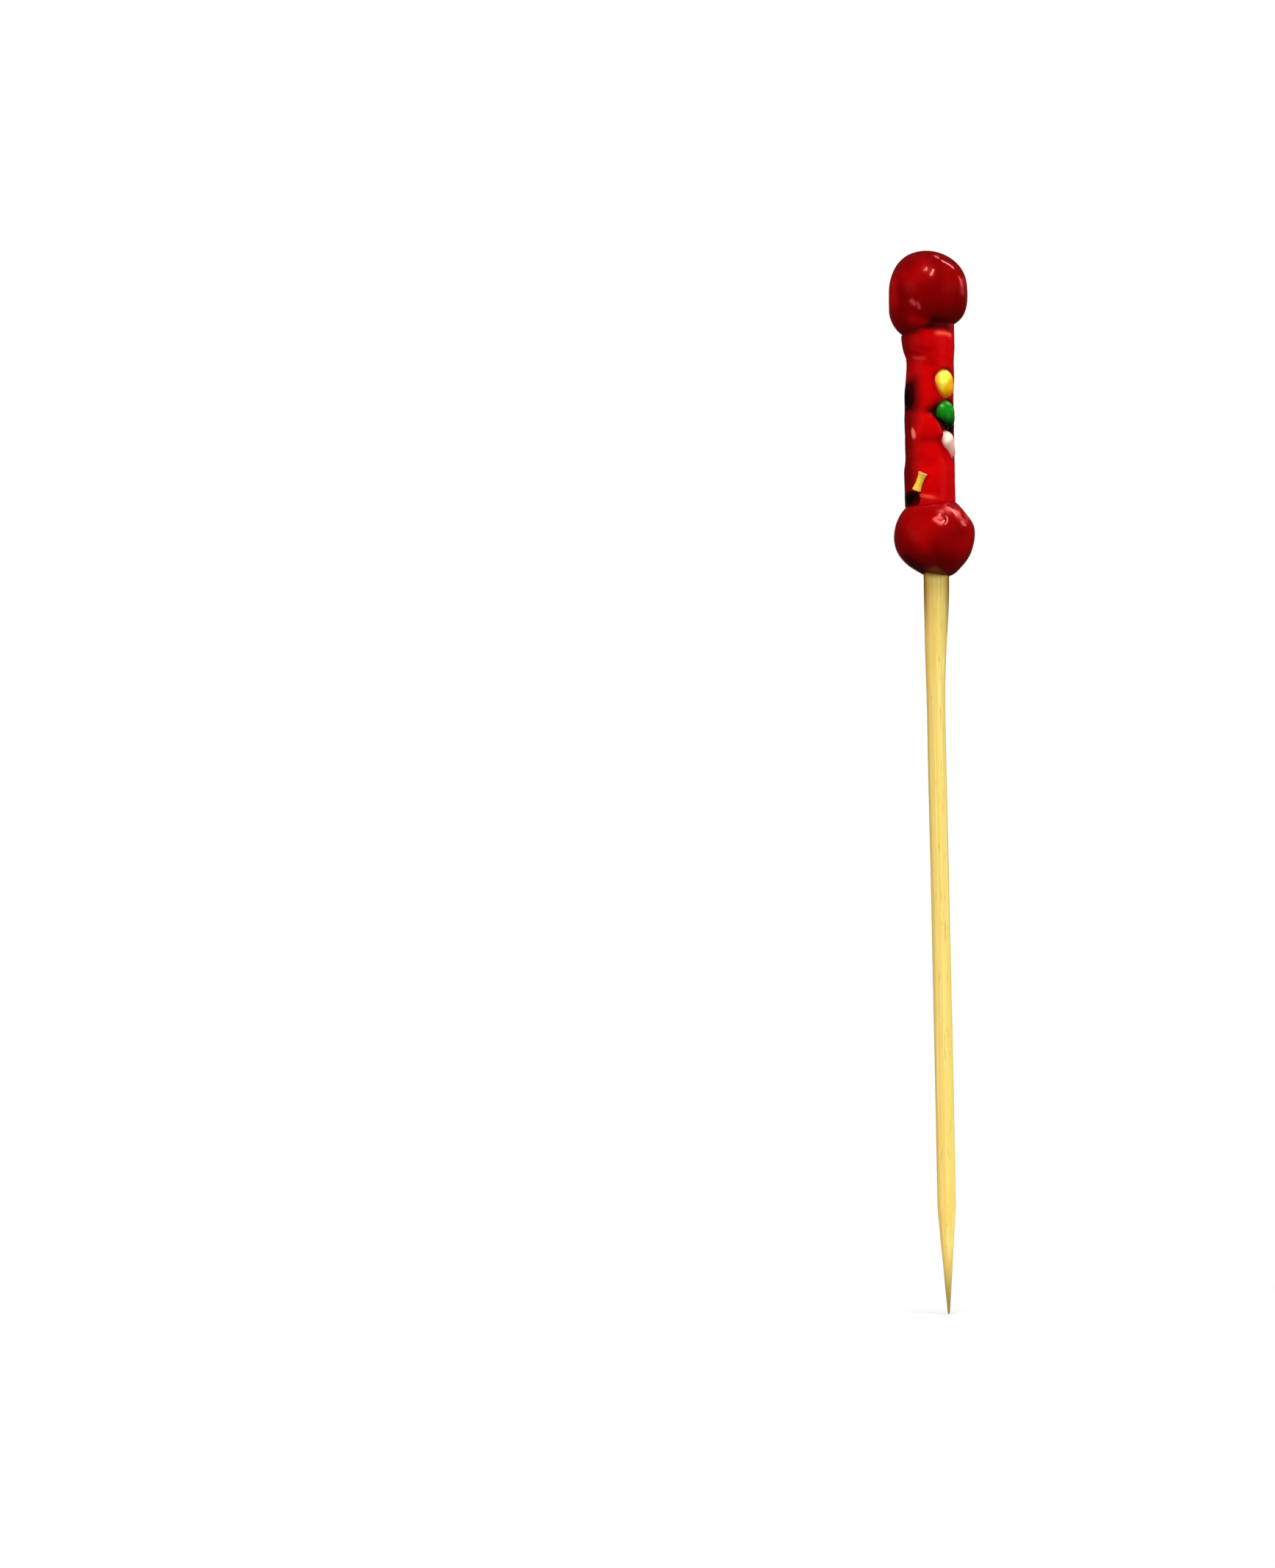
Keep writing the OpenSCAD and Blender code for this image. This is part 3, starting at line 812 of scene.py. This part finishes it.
# Distance outside an egg on its side, big end up, at a height over its axis
def outsideEgg(drop, across, along, height):
    big, small = drop["width"] / 2, drop["endWidth"] / 2
    downLine = drop["length"] / 2 - big - along
    return taperedBall(downLine, np.hypot(across, height), big, small, drop["length"] - big - small)


def eggHeight(drop, across, along):  # height of the egg's face over the skin
    big = drop["width"] / 2
    face = lastInside(lambda height: outsideEgg(drop, across, along, height) < 0, 0, big)
    return face - big + drop["proud"]


def eggGap(drop, across, along):  # distance outside a drop's outline, which the lobe may cut off along a line
    gap = outsideEgg(drop, across, along, drop["width"] / 2 - drop["proud"] - pocketDepth)
    if "cutAt" in drop:
        towards = math.radians(drop["cutTowards"])
        gap = np.maximum(gap, across * math.cos(towards) + along * math.sin(towards) - drop["cutAt"])
    return gap


# Share of the way out to the edge of a rounded oval, whose lower half is shortened where the ball's seat
# cuts it
def ovalShare(inlay, across, along):
    tall = np.where(along > 0, inlay["height"] / 2, np.minimum(inlay["height"] / 2, inlay["foot"]))
    power = inlay["squareness"]
    return (np.abs(2 * across / inlay["width"]) ** power + np.abs(along / tall) ** power) ** (1 / power)


def wornShare(inlay, across, along):  # the glaze comes through towards the lower right
    return inlay["wedge"] * ease((across - along) / inlay["width"], 0.1, 0.65)


def spoolRadius(along):  # waisted bar: widens with the square of the distance from its middle
    return spool["waistR"] + (spool["endR"] - spool["waistR"]) * (2 * along / spool["length"]) ** 2


# A pocket is given by where it lies, the radius of its floor and the painted contact shadow round it: the
# floor is flat under a drop, round under an inlay and a trough under a spool
def dropPocket(drop, sideTurn, skin, turn, rise):
    across, along, square = localPlace(skin, turn, rise, drop, sideTurn)
    gap = eggGap(drop, across, along)
    shadow = drop["shadow"] * (1 - ease(gap, *drop["shadowReach"]))
    if "cutAt" in drop:  # none on the lobe that lies over the drop, and less over its head
        shadow = shadow * ease(rise - lobeEdge(turn), -0.2, 0.1) * (1 - 0.5 * ease(along, 0.9, 1.7))
    return 1 - ease(gap, 0.02, 0.1), (seatRadius(drop, sideTurn) - pocketDepth - pocketGap) / square, shadow


def inlayPocket(inlay, sideTurn, skin, turn, rise):
    across, along = localPlace(skin, turn, rise, inlay, sideTurn)[:2]
    share = ovalShare(inlay, across, along)
    shadow = inlay["ring"] * (1 - 0.7 * wornShare(inlay, across, along)) * (1 - ease(share, 1.0, 1.5))
    return 1 - ease(share, 1.01, 1.08), seatRadius(inlay, sideTurn) - pocketDepth - pocketGap, shadow


def spoolPocket(bar, sideTurn, skin, turn, rise):
    across, along, square = localPlace(skin, turn, rise, bar, sideTurn)
    barR = spoolRadius(np.clip(along, -2, 2))
    trough = np.sqrt(np.maximum((barR + pocketGap) ** 2 - across**2, 0))
    pastEnd = np.abs(along) - bar["length"] / 2
    shadow = bar["shadow"] * bell(np.abs(across) - barR, bar["shadowWidth"]) * (pastEnd < 0.1)
    return (pastEnd < pocketGap) & (trough > 0), (seatRadius(bar, sideTurn) - trough) / square, shadow


def cutPockets(skin, turn, rise):
    pockets = [(dropPocket, drop) for drop in drops.values()]
    pockets += [(inlayPocket, inlay) for inlay in inlays.values()] + [(spoolPocket, spool)]
    cut, contactShadow = skin.copy(), np.zeros_like(skin)
    for sideTurn in sideTurns.values():
        for pocket, thing in pockets:
            inside, floorR, shadow = pocket(thing, sideTurn, skin, turn, rise)
            cut += (np.minimum(floorR, cut) - cut) * inside
            contactShadow = np.maximum(contactShadow, shadow)
    return cut, contactShadow


# Red glaze of the sleeve; its bands have a strength, place and width, and where they begin and end
glaze = {
    "look": {"Specular IOR Level": 0.3, "Specular Tint": (1.0, 0.16, 0.14, 1.0)},
    "plain": colour(204, 1, 3), "deep": colour(188, 1, 4), "pale": colour(216, 2, 2), "driftSize": 2.4,
    # laid over in turn: painted rim highlights, dark glaze for painted shade and the halo round the black
    # streak, and a painted highlight on the blister
    "laidOver": {"paintedRimHighlight": colour(240, 76, 56), "shadeAndPooling": colour(34, 1, 3), "blisterHighlight": colour(228, 108, 98)},
    "roughness": 0.3, "roughnessDrift": 0.06, "glossSize": 1.2, "mattMark": "shadeAndPooling", "mattRoughness": 0.3,
    "rippleSize": 0.9, "rippleHeight": 0.03, "peelSize": 0.25, "peelShare": 0.15,
    "speckSize": 0.45, "speckShare": 0.04, "speckColour": colour(150, 1, 5),
    # bands of painted shade: nook, underLobe, overRim and middle
    "nook": (1.0, 0.4, 0.55, (-0.6, 0.0, 0.5, 0.8)),
    "underLobe": (0.34, 10.75, 0.65, (-0.6, -0.3, 0.15, 0.45)),
    "overRim": (0.28, 21.1, 0.4, (-0.15, 0.2, 0.45, 0.8)),
    "middle": (0.13, -0.02, 0.28, (14.6, 15.6, 24.0, 25.0)),
    # bands of painted highlight on the rims of collar, neck and flank; footRim below is one too
    "collarRim": (0.32, 20.08, 0.2, (0.1, 0.3, 0.75, 0.95)),
    "neckRim": (1.0, 0.0, 0.24, (0.08, 0.36, 0.85, 1.15)),
    "flankRim": (0.4, -0.1, 0.2, (0.1, 0.3, 0.55, 0.75)),
    # painted shade down the left side, less at the waist
    "leftSide": (0.2, 1.15, 1.75, 2.4), "leftShade": 0.74, "waistLoss": 0.3,
    "streak": 0.95, "streakAt": (1.15, 16.3), "streakHalf": (0.82, 2.9), "streakSlant": 0.5,
    "footRim": 0.85, "footRimWidth": 0.2, "footRimHalf": 0.3,
}


# Darker glaze: a soft dark halo round the black streak, and painted shade in the crease over the lobe, over
# the collar's rim, under the ball and the lobe, round the decoration and down the left side; painted
# highlights lie on the rims of collar, neck, foot and flank, and a painted highlight on the blister's top
def glazeMarks(turn, rise, head, contactShadow):
    leftward, leftness, ahead = -turnFrom(turn, 0), -np.sin(turn), aheadOf(turn)
    aboveLobe, aboveNeck = rise - lobeEdge(turn), rise - neckEdge(turn)
    streakTurn, streakRise = glaze["streakAt"]
    streakWide, streakTall = glaze["streakHalf"]
    sideways = (leftward - streakTurn) / streakWide
    upward = (rise + glaze["streakSlant"] * leftward - streakRise) / streakTall
    streak = glaze["streak"] * (1 - ease((sideways**4 + upward**4) ** 0.25, 0.4, 1.2))
    side = (glaze["leftShade"] - glaze["waistLoss"] * waistShare(rise)) * span(leftward, *glaze["leftSide"])
    nook = band(aboveLobe, ahead, *glaze["nook"])
    corner = bell(ahead - 0.06, 0.2) * (1 - ease(np.abs(aboveLobe - 0.5), 0.2, 1.1))
    farLeft = ease(leftness, 0.0, 0.65)
    underHead = (0.55 + 0.3 * farLeft) * (1 - ease(head - rise, 0.0, 1.0 + 0.6 * farLeft))
    underHead = underHead * ease(leftness, -0.35, 0.0)
    overNeck = (0.85 - 0.45 * ease(-leftness, 0.68, 0.93)) * ease(aboveNeck, 0.1, 0.7)
    dark = np.maximum.reduce([streak, side, nook, corner, underHead, overNeck, contactShadow])
    added = band(rise, ahead, *glaze["underLobe"]) + band(rise, leftward, *glaze["overRim"])
    added += band(leftward, rise, *glaze["middle"])
    # painted highlights along the rims of collar, neck, flank and foot
    paintedRimHighlight = band(rise, leftward, *glaze["collarRim"]) + band(aboveNeck, -leftward, *glaze["neckRim"])
    paintedRimHighlight += band(aboveLobe, ahead, *glaze["flankRim"])
    paintedRimHighlight += glaze["footRim"] * onFootLip(turn, rise, glaze["footRimWidth"], glaze["footRimHalf"])
    return {"shadeAndPooling": np.clip(dark + added, 0, 1), "paintedRimHighlight": np.clip(paintedRimHighlight, 0, 1),
            # a painted highlight on the blister's top
            "blisterHighlight": ease(blisterShare(turn, rise), 0.3, 0.8)}


def lowerCup(radius):  # height of the sleeve's lower cup, a gap outside the lower ball
    return np.sqrt((lowerR + sleeve["cupGap"]) ** 2 - radius**2)


# Radius of the skin with its relief, lumps and ripples, rounded off towards both ends
def sleeveSkin(turn, rise, foot, head):
    skin = skinRadius(turn, rise) + skinRelief(turn, rise)
    points = onAxis(skin, turn, rise)
    skin += lumps(points, *sleeve["lumps"], seed=31) * standing(turn)
    skin += lumps(points, *sleeve["ripples"], seed=32)
    footEnd, headEnd = bell(rise - foot, sleeve["edgeWidth"]), bell(rise - head, sleeve["edgeWidth"])
    return skin - sleeve["edgeRound"] * (sleeve["footShare"] * footEnd + headEnd)


# Skin from ball to ball, then the upper cup in to the bore, down the bore and out over the lower cup
def sleeveRings():
    turn = evenTurns(sleeve["sides"])
    boreR = buttR + sleeve["boreGap"]
    gap = sleeve["cupGap"]
    halfWay = lowerZ + spacing / 2

    def skinPoints(rise):
        return onAxis(skinRadius(turn, rise), turn, rise)

    def upperCup(radius):
        return lastInside(lambda z: tailedBall(onAxis(radius, turn, z)) > gap, halfWay, crownZ)

    foot = lastInside(lambda rise: np.linalg.norm(skinPoints(rise), axis=-1) < lowerR + gap, 0, lowerR)
    towards = skinPoints(foot) / lowerR
    foot += np.minimum(waver(towards, towards * lowerR, lowerBall, seed=11), 0)  # fills the ball's dents
    head = lastInside(lambda rise: tailedBall(skinPoints(rise) + [0, 0, lowerZ]) > gap, spacing / 2, spacing)
    rise = foot + (head - foot) * np.linspace(0, 1, sleeve["skinRings"])[:, None]
    cut, contactShadow = cutPockets(sleeveSkin(turn, rise, foot, head), turn, rise)
    share = np.linspace(0, 1, sleeve["seatRings"] + 2)[1:-1, None]
    headR = cut[-1] + (boreR - cut[-1]) * share
    footR = boreR + (cut[0] - boreR) * share
    boreTop, boreFoot = upperCup(boreR), lowerZ + lowerCup(boreR)
    boreShare = np.linspace(0, 1, sleeve["boreRings"])[:, None]
    rings = np.concatenate([
        onAxis(cut, turn, rise + lowerZ),
        onAxis(headR, turn, upperCup(headR)),
        onAxis(boreR, turn, boreTop + (boreFoot - boreTop) * boreShare),
        onAxis(footR, turn, lowerZ + lowerCup(footR)),
    ])
    marks = glazeMarks(turn, rise, head, contactShadow)
    return rings, withHidden(marks, 0, len(rings) - len(cut), shadeAndPooling=0)


for inlay in inlays.values():  # how far down an inlay's oval can reach before the lower cup
    inlay["foot"] = inlay["rise"] - lowerCup(seatRadius(inlay, 0)) - 0.02
addPiece("redSleeve", "red_sleeve", "red_glaze", makeCoat("redGlaze", glaze), *sleeveRings(), joined=True)


# Middle of a decoration on the skin, and its directions across, along and outwards
def seatFrame(thing, sideTurn):
    turn = math.radians(thing["turn"] + sideTurn)
    out = np.array([math.sin(turn), -math.cos(turn), 0])
    right, up = np.array([math.cos(turn), math.sin(turn), 0]), np.array([0, 0, 1])
    middle = out * seatRadius(thing, sideTurn) + up * (lowerZ + thing["rise"])
    return middle, *slanted(thing, right, up), out


# Shares of the way out to a decoration's outline, ring by ring, out over its back and then in over its face,
# and which rings are on the face
def capShares(coat):
    back = np.linspace(0.1, 0.97, coat["backRings"])
    face = np.sin(np.linspace(1, 0.02, coat["faceRings"]) * math.pi / 2)
    share = np.concatenate([back, face])[:, None]
    return share, np.arange(len(share))[:, None] >= coat["backRings"]


# Enamel drops
enamel = {
    "sides": 72, "faceRings": 26, "backRings": 5, "slump": 0.05, "lumps": (1.3, 0.02),
    "look": {"Specular IOR Level": 0.4}, "wander": 0.3, "wanderSize": 0.9, "rimShare": 0.8,
    "roughness": 0.28, "roughnessDrift": 0.06, "glossSize": 0.8,
    "rippleSize": 0.7, "rippleHeight": 0.02, "peelSize": 0.2, "peelShare": 0.15,
    "speckSize": 0.4, "speckShare": 0.05,
}


# Foot, middle and head colours blend along the drop, at heights that wander: painted shade at the foot,
# painted light at the head; the rim has its own colour
def makeEnamel(name, drop):
    material, tree, shader, place = newMaterial(name, enamel["look"])
    cloud = noise(tree, place, perMetre(enamel["wanderSize"]))
    along = doMath(tree, "MULTIPLY_ADD", cloud, enamel["wander"], mark(tree, "along"))
    along = doMath(tree, "SUBTRACT", along, enamel["wander"] / 2)
    tone = mixColours(tree, mapRange(tree, along, *drop["headBlend"]), drop["middle"], drop["head"])
    rimShare = mapRange(tree, mark(tree, "rim"), 0.66, 0.96, 0.0, enamel["rimShare"])
    tone = mixColours(tree, rimShare, tone, drop["rim"])
    tone = mixColours(tree, mapRange(tree, along, *drop["footBlend"]), drop["foot"], tone)
    finishCoat(tree, shader, place, tone, dict(enamel, speckColour=drop["rim"]))
    return material


# Face of an egg lying on its side, on rings from its pocket's floor to its crown, slumped towards the foot,
# over a flat back; the outline is where the egg meets the floor
def dropRings(drop, sideTurn, seed):
    middle, across, along, out = seatFrame(drop, sideTurn)
    angle = evenTurns(enamel["sides"])
    right, up = np.cos(angle), np.sin(angle)
    reach = lastInside(lambda far: eggGap(drop, far * right, far * up) < 0, 0, drop["length"])
    share, onFace = capShares(enamel)
    sideways, upward = share * reach * right, share * reach * up
    flat = middle + sideways[..., None] * across + upward[..., None] * along
    slump = enamel["slump"] * np.sin(-upward / drop["length"] * math.pi)
    uneven = slump + lumps(flat, *enamel["lumps"], seed=seed)
    height = np.where(onFace, eggHeight(drop, sideways, upward) + (1 - share**4) * uneven, -pocketDepth)
    fade = math.radians(drop["fadeTowards"])
    climb = (upward * math.cos(fade) - sideways * math.sin(fade)) / drop["length"] + 0.5
    return flat + height[..., None] * out, {"along": climb, "rim": share + 0 * angle}


for tone, drop in drops.items():
    name = tone + "Drop"
    material = makeEnamel(name + "Enamel", drop)
    addDecoration(name, tone + "_drop", tone + "_enamel", material,
                  lambda sideTurn: dropRings(drop, sideTurn, seed=40 + len(name) + sideTurn))

# Black inlays
blackCoat = {
    **enamel,  # the same coat but for what follows
    "faceRings": 18, "edge": 0.18,
    "look": glaze["look"], "laidOver": {"stain": colour(78, 1, 4)},
    "plain": colour(14, 2, 2), "deep": colour(6, 1, 1), "pale": colour(34, 4, 5), "driftSize": 0.8,
    "roughness": 0.3, "glossSize": 0.7, "speckSize": 0.3, "speckColour": colour(60, 10, 10),
}


# Oval laid round the sleeve: its face follows the skin with a rounded edge, its back is part of a round core
def inlayRings(inlay, sideTurn):
    angle = evenTurns(blackCoat["sides"])
    share, onFace = capShares(blackCoat)
    across, along = inlay["width"] * np.cos(angle), inlay["height"] * np.sin(angle)
    reach = share / ovalShare(inlay, across, along)
    sideways, upward = reach * across, reach * along
    seat = seatRadius(inlay, sideTurn)
    turn = math.radians(inlay["turn"] + sideTurn) + np.arcsin(sideways / seat)
    rise = inlay["rise"] + upward
    face = skinRadius(turn, rise) + inlay["lift"] - blackCoat["edge"] * share**10
    rings = onAxis(np.where(onFace, face, seat - pocketDepth), turn, lowerZ + rise)
    soft = inlay["softEdge"] * ease(share, 0.45, 1.0)
    return rings, {"stain": np.maximum(soft, wornShare(inlay, sideways, upward))}


blackEnamel = makeCoat("blackEnamel", blackCoat)
for form, inlay in inlays.items():
    addDecoration("black" + form, "black_" + form.lower(), "black_enamel", blackEnamel,
                  lambda sideTurn: inlayRings(inlay, sideTurn))

# Gold spools
gold = {
    "sides": 64, "barRings": 40, "edgeRings": 6, "endRings": 6, "lumps": (0.6, 0.012),
    # flank is a colour of painted shade on the bar's sides
    "look": {"Metallic": 0.05}, "laidOver": {"flank": colour(222, 126, 42), "end": colour(250, 160, 116)},
    "plain": colour(255, 222, 70), "deep": colour(250, 200, 54), "pale": colour(255, 244, 156),
    "driftSize": 0.7, "roughness": 0.34, "roughnessDrift": 0.08, "glossSize": 0.5,
    "rippleSize": 0.4, "rippleHeight": 0.02, "peelSize": 0.12, "peelShare": 0.2,
    "speckSize": 0.25, "speckShare": 0.04, "speckColour": colour(176, 108, 26),
}


# Waisted bar turned about its own line: end face, rounded edge, bar, rounded edge, end face
def spoolRings(sideTurn, seed):
    middle, across, along, out = seatFrame(spool, sideTurn)
    half, edge = spool["length"] / 2, spool["edge"]
    bend = np.linspace(0, math.pi / 2, gold["edgeRings"])
    flatR = np.linspace(0.03, spool["endR"] - edge, gold["endRings"], endpoint=False)
    bar = np.linspace(-half + edge, half - edge, gold["barRings"] + 2)[1:-1]
    footR = spool["endR"] - edge + edge * np.sin(bend)
    footAlong = -half + edge - edge * np.cos(bend)
    radius = np.concatenate([flatR, footR, spoolRadius(bar), footR[::-1], flatR[::-1]])[:, None]
    place = np.concatenate([-half + 0 * flatR, footAlong, bar, -footAlong[::-1], half + 0 * flatR])[:, None]
    angle = evenTurns(gold["sides"])
    right = np.cos(angle)
    ray = right[..., None] * across - np.sin(angle)[..., None] * out
    points = middle + place[..., None] * along + radius[..., None] * ray
    dent = lumps(points, *gold["lumps"], seed=seed) * np.minimum(radius / spool["waistR"], 1)
    flank = ease(np.maximum(-right, 0.55 * right), 0.35, 0.85)  # painted shade on both flanks, the left one more
    marks = {"flank": flank + 0 * place, "end": ease(np.abs(place) / half, 0.8, 1.0) + 0 * angle}
    return points + dent[..., None] * ray, marks


addDecoration("goldSpool", "gold_spool", "gold", makeCoat("goldLeaf", gold),
              lambda sideTurn: spoolRings(sideTurn, seed=60 + sideTurn))
print("pieces made")

# Small pale floor that fades out into the white backdrop
floor = {"radius": 100, "rings": 30, "sides": 96, "fadeFrom": 8, "fadeTo": 70,
         "look": {"Base Color": (0.86, 0.86, 0.86, 1.0), "Roughness": 0.9}}


# Flat disc as rings round the tip of the pick
def addFloor():
    ringCount, sideCount = floor["rings"], floor["sides"]
    radius = np.linspace(floor["radius"], 1, ringCount)[:, None]
    rings = onAxis(radius, evenTurns(sideCount), 0.0)
    points = np.vstack([rings.reshape(-1, 3), [0, 0, 0]])
    faces = ringFaces(ringCount, sideCount).tolist()
    faces += fanFaces((ringCount - 1) * sideCount, sideCount, len(points) - 1).tolist()
    material, tree, shader, place = newMaterial("paleFloor", floor["look"])
    away = addNode(tree, "ShaderNodeVectorMath", {0: place}, operation="LENGTH").outputs["Value"]
    fade = mapRange(tree, away, floor["fadeFrom"] * mm, floor["fadeTo"] * mm, 1.0, 0.0)
    setInputs(tree, shader, {"Alpha": fade})
    piece = addMesh("floor", points, faces, material, {})
    piece.visible_glossy = False  # the lacquer stays dark underneath


# White to the camera, through glass and, straight behind the object, in reflections too; the rest of the room
# is dim in reflections, and soft light falls from above
backdrop = {"reflected": 0.022, "fromBelow": 0.03, "fromAbove": 0.36}


def addBackdrop():
    world = bpy.data.worlds.new("studio")
    bpy.context.scene.world = world
    world.use_nodes = True
    tree = world.node_tree
    tree.nodes.clear()
    path = addNode(tree, "ShaderNodeLightPath").outputs
    heading = addNode(tree, "ShaderNodeTexCoord").outputs["Generated"]
    axes = addNode(tree, "ShaderNodeSeparateXYZ", {0: heading}).outputs
    soft = mapRange(tree, axes["Z"], -0.6, 0.8, backdrop["fromBelow"], backdrop["fromAbove"])
    mirrored = mapRange(tree, axes["Y"], 0.95, 0.995, backdrop["reflected"], 1.0)
    lit = mixValues(tree, path["Is Glossy Ray"], soft, mirrored)
    seen = doMath(tree, "MAXIMUM", path["Is Camera Ray"], path["Is Transmission Ray"])
    strength = mixValues(tree, seen, lit, 1.0)
    light = addNode(tree, "ShaderNodeBackground", {"Color": (1, 1, 1, 1), "Strength": strength})
    addNode(tree, "ShaderNodeOutputWorld", {"Surface": light.outputs[0]})


# Lamps, in metres: soft ones that only shade, and small ones that only show as highlights in the gloss
lamps = {
    "overhead": {"at": (0.05, -0.22, 0.62), "size": (0.34, 0.34), "power": 3.5, "shades": True},
    "leftFill": {"at": (-0.55, -0.32, 0.20), "size": (0.40, 0.40), "power": 2.8, "shades": True},
    "rightFill": {"at": (0.55, -0.32, 0.20), "size": (0.40, 0.40), "power": 2.7, "shades": True},
    "paneLeft": {"at": (-0.035, -0.225, 0.56), "size": (0.036, 0.09), "power": 0.28,
                 "along": (1, -0.3, -0.2)},
    "paneRight": {"at": (0.094, -0.30, 0.505), "size": (0.036, 0.20), "power": 0.74,
                  "along": (1, -0.3, -0.2)},
    "backStrip": {"at": (0.275, 0.17, 0.485), "size": (0.18, 0.03), "power": 0.42,
                  "along": (0.774, 0.16, -0.61), "tint": (1.0, 0.5, 0.5)},
    "backDot": {"at": (0.13, 0.23, 0.535), "size": (0.06, 0.11), "power": 0.12,
                "along": (1, 0.5, -0.2), "tint": (1.0, 0.35, 0.4)},
    "sideStrip": {"at": (0.442, 0.178, 0.25), "size": (0.055, 0.13), "power": 0.15,
                  "along": (0.3, -0.9, 0), "tint": (1.0, 0.35, 0.4)},
}
lampAim = Vector((0, 0, 0.1))


def placeHolder(name, data, at, right, up, back):  # puts a lamp or camera into the scene, turned by its axes
    holder = bpy.data.objects.new(name, data)
    holder.matrix_world = Matrix.Translation(at) @ Matrix((right, up, back)).transposed().to_4x4()
    bpy.context.scene.collection.objects.link(holder)
    return holder


def addLamp(name, lamp):
    light = bpy.data.lights.new(name, "AREA")
    light.shape = "RECTANGLE"
    light.size, light.size_y = lamp["size"]
    light.energy = lamp["power"]
    light.color = lamp.get("tint", (1, 1, 1))
    back = (Vector(lamp["at"]) - lampAim).normalized()
    wide = Vector(lamp.get("along", (1, 0, 0)))
    wide = (wide - back * wide.dot(back)).normalized()
    holder = placeHolder(name, light, lamp["at"], wide, back.cross(wide), back)
    holder.visible_diffuse = lamp.get("shades", False)
    holder.visible_glossy = not holder.visible_diffuse
    holder.visible_camera = False


# Camera: level, in front, placed so that the top and the tip fall on their pixels of the photograph
camera = {"photo": (1736, 2135), "topPixel": (1263, 342), "tipPixel": (1292, 1790), "lens": 200, "sensor": 36}


def addCamera():
    wide, tall = camera["photo"]
    topAcross, topDown = camera["topPixel"]
    tipAcross, tipDown = camera["tipPixel"]
    metresPerPixel = cadBounds[1].z / math.hypot(topAcross - tipAcross, topDown - tipDown)
    roll = math.atan2(topAcross - tipAcross, tipDown - topDown)
    right = Vector((math.cos(roll), 0, math.sin(roll)))
    up = Vector((-math.sin(roll), 0, math.cos(roll)))
    back = Vector((0, -1, 0))
    middle = -(right * (tipAcross - wide / 2) + up * (tall / 2 - tipDown)) * metresPerPixel
    distance = tall * metresPerPixel * camera["lens"] / camera["sensor"]
    data = bpy.data.cameras.new("camera")
    data.lens = camera["lens"]
    data.sensor_width = camera["sensor"]
    bpy.context.scene.camera = placeHolder("camera", data, middle + back * distance, right, up, back)


addFloor()
addBackdrop()
for name, lamp in lamps.items():
    addLamp(name, lamp)
addCamera()
bpy.context.scene.view_settings.view_transform = "Standard"
print("stage, lamps and camera placed")
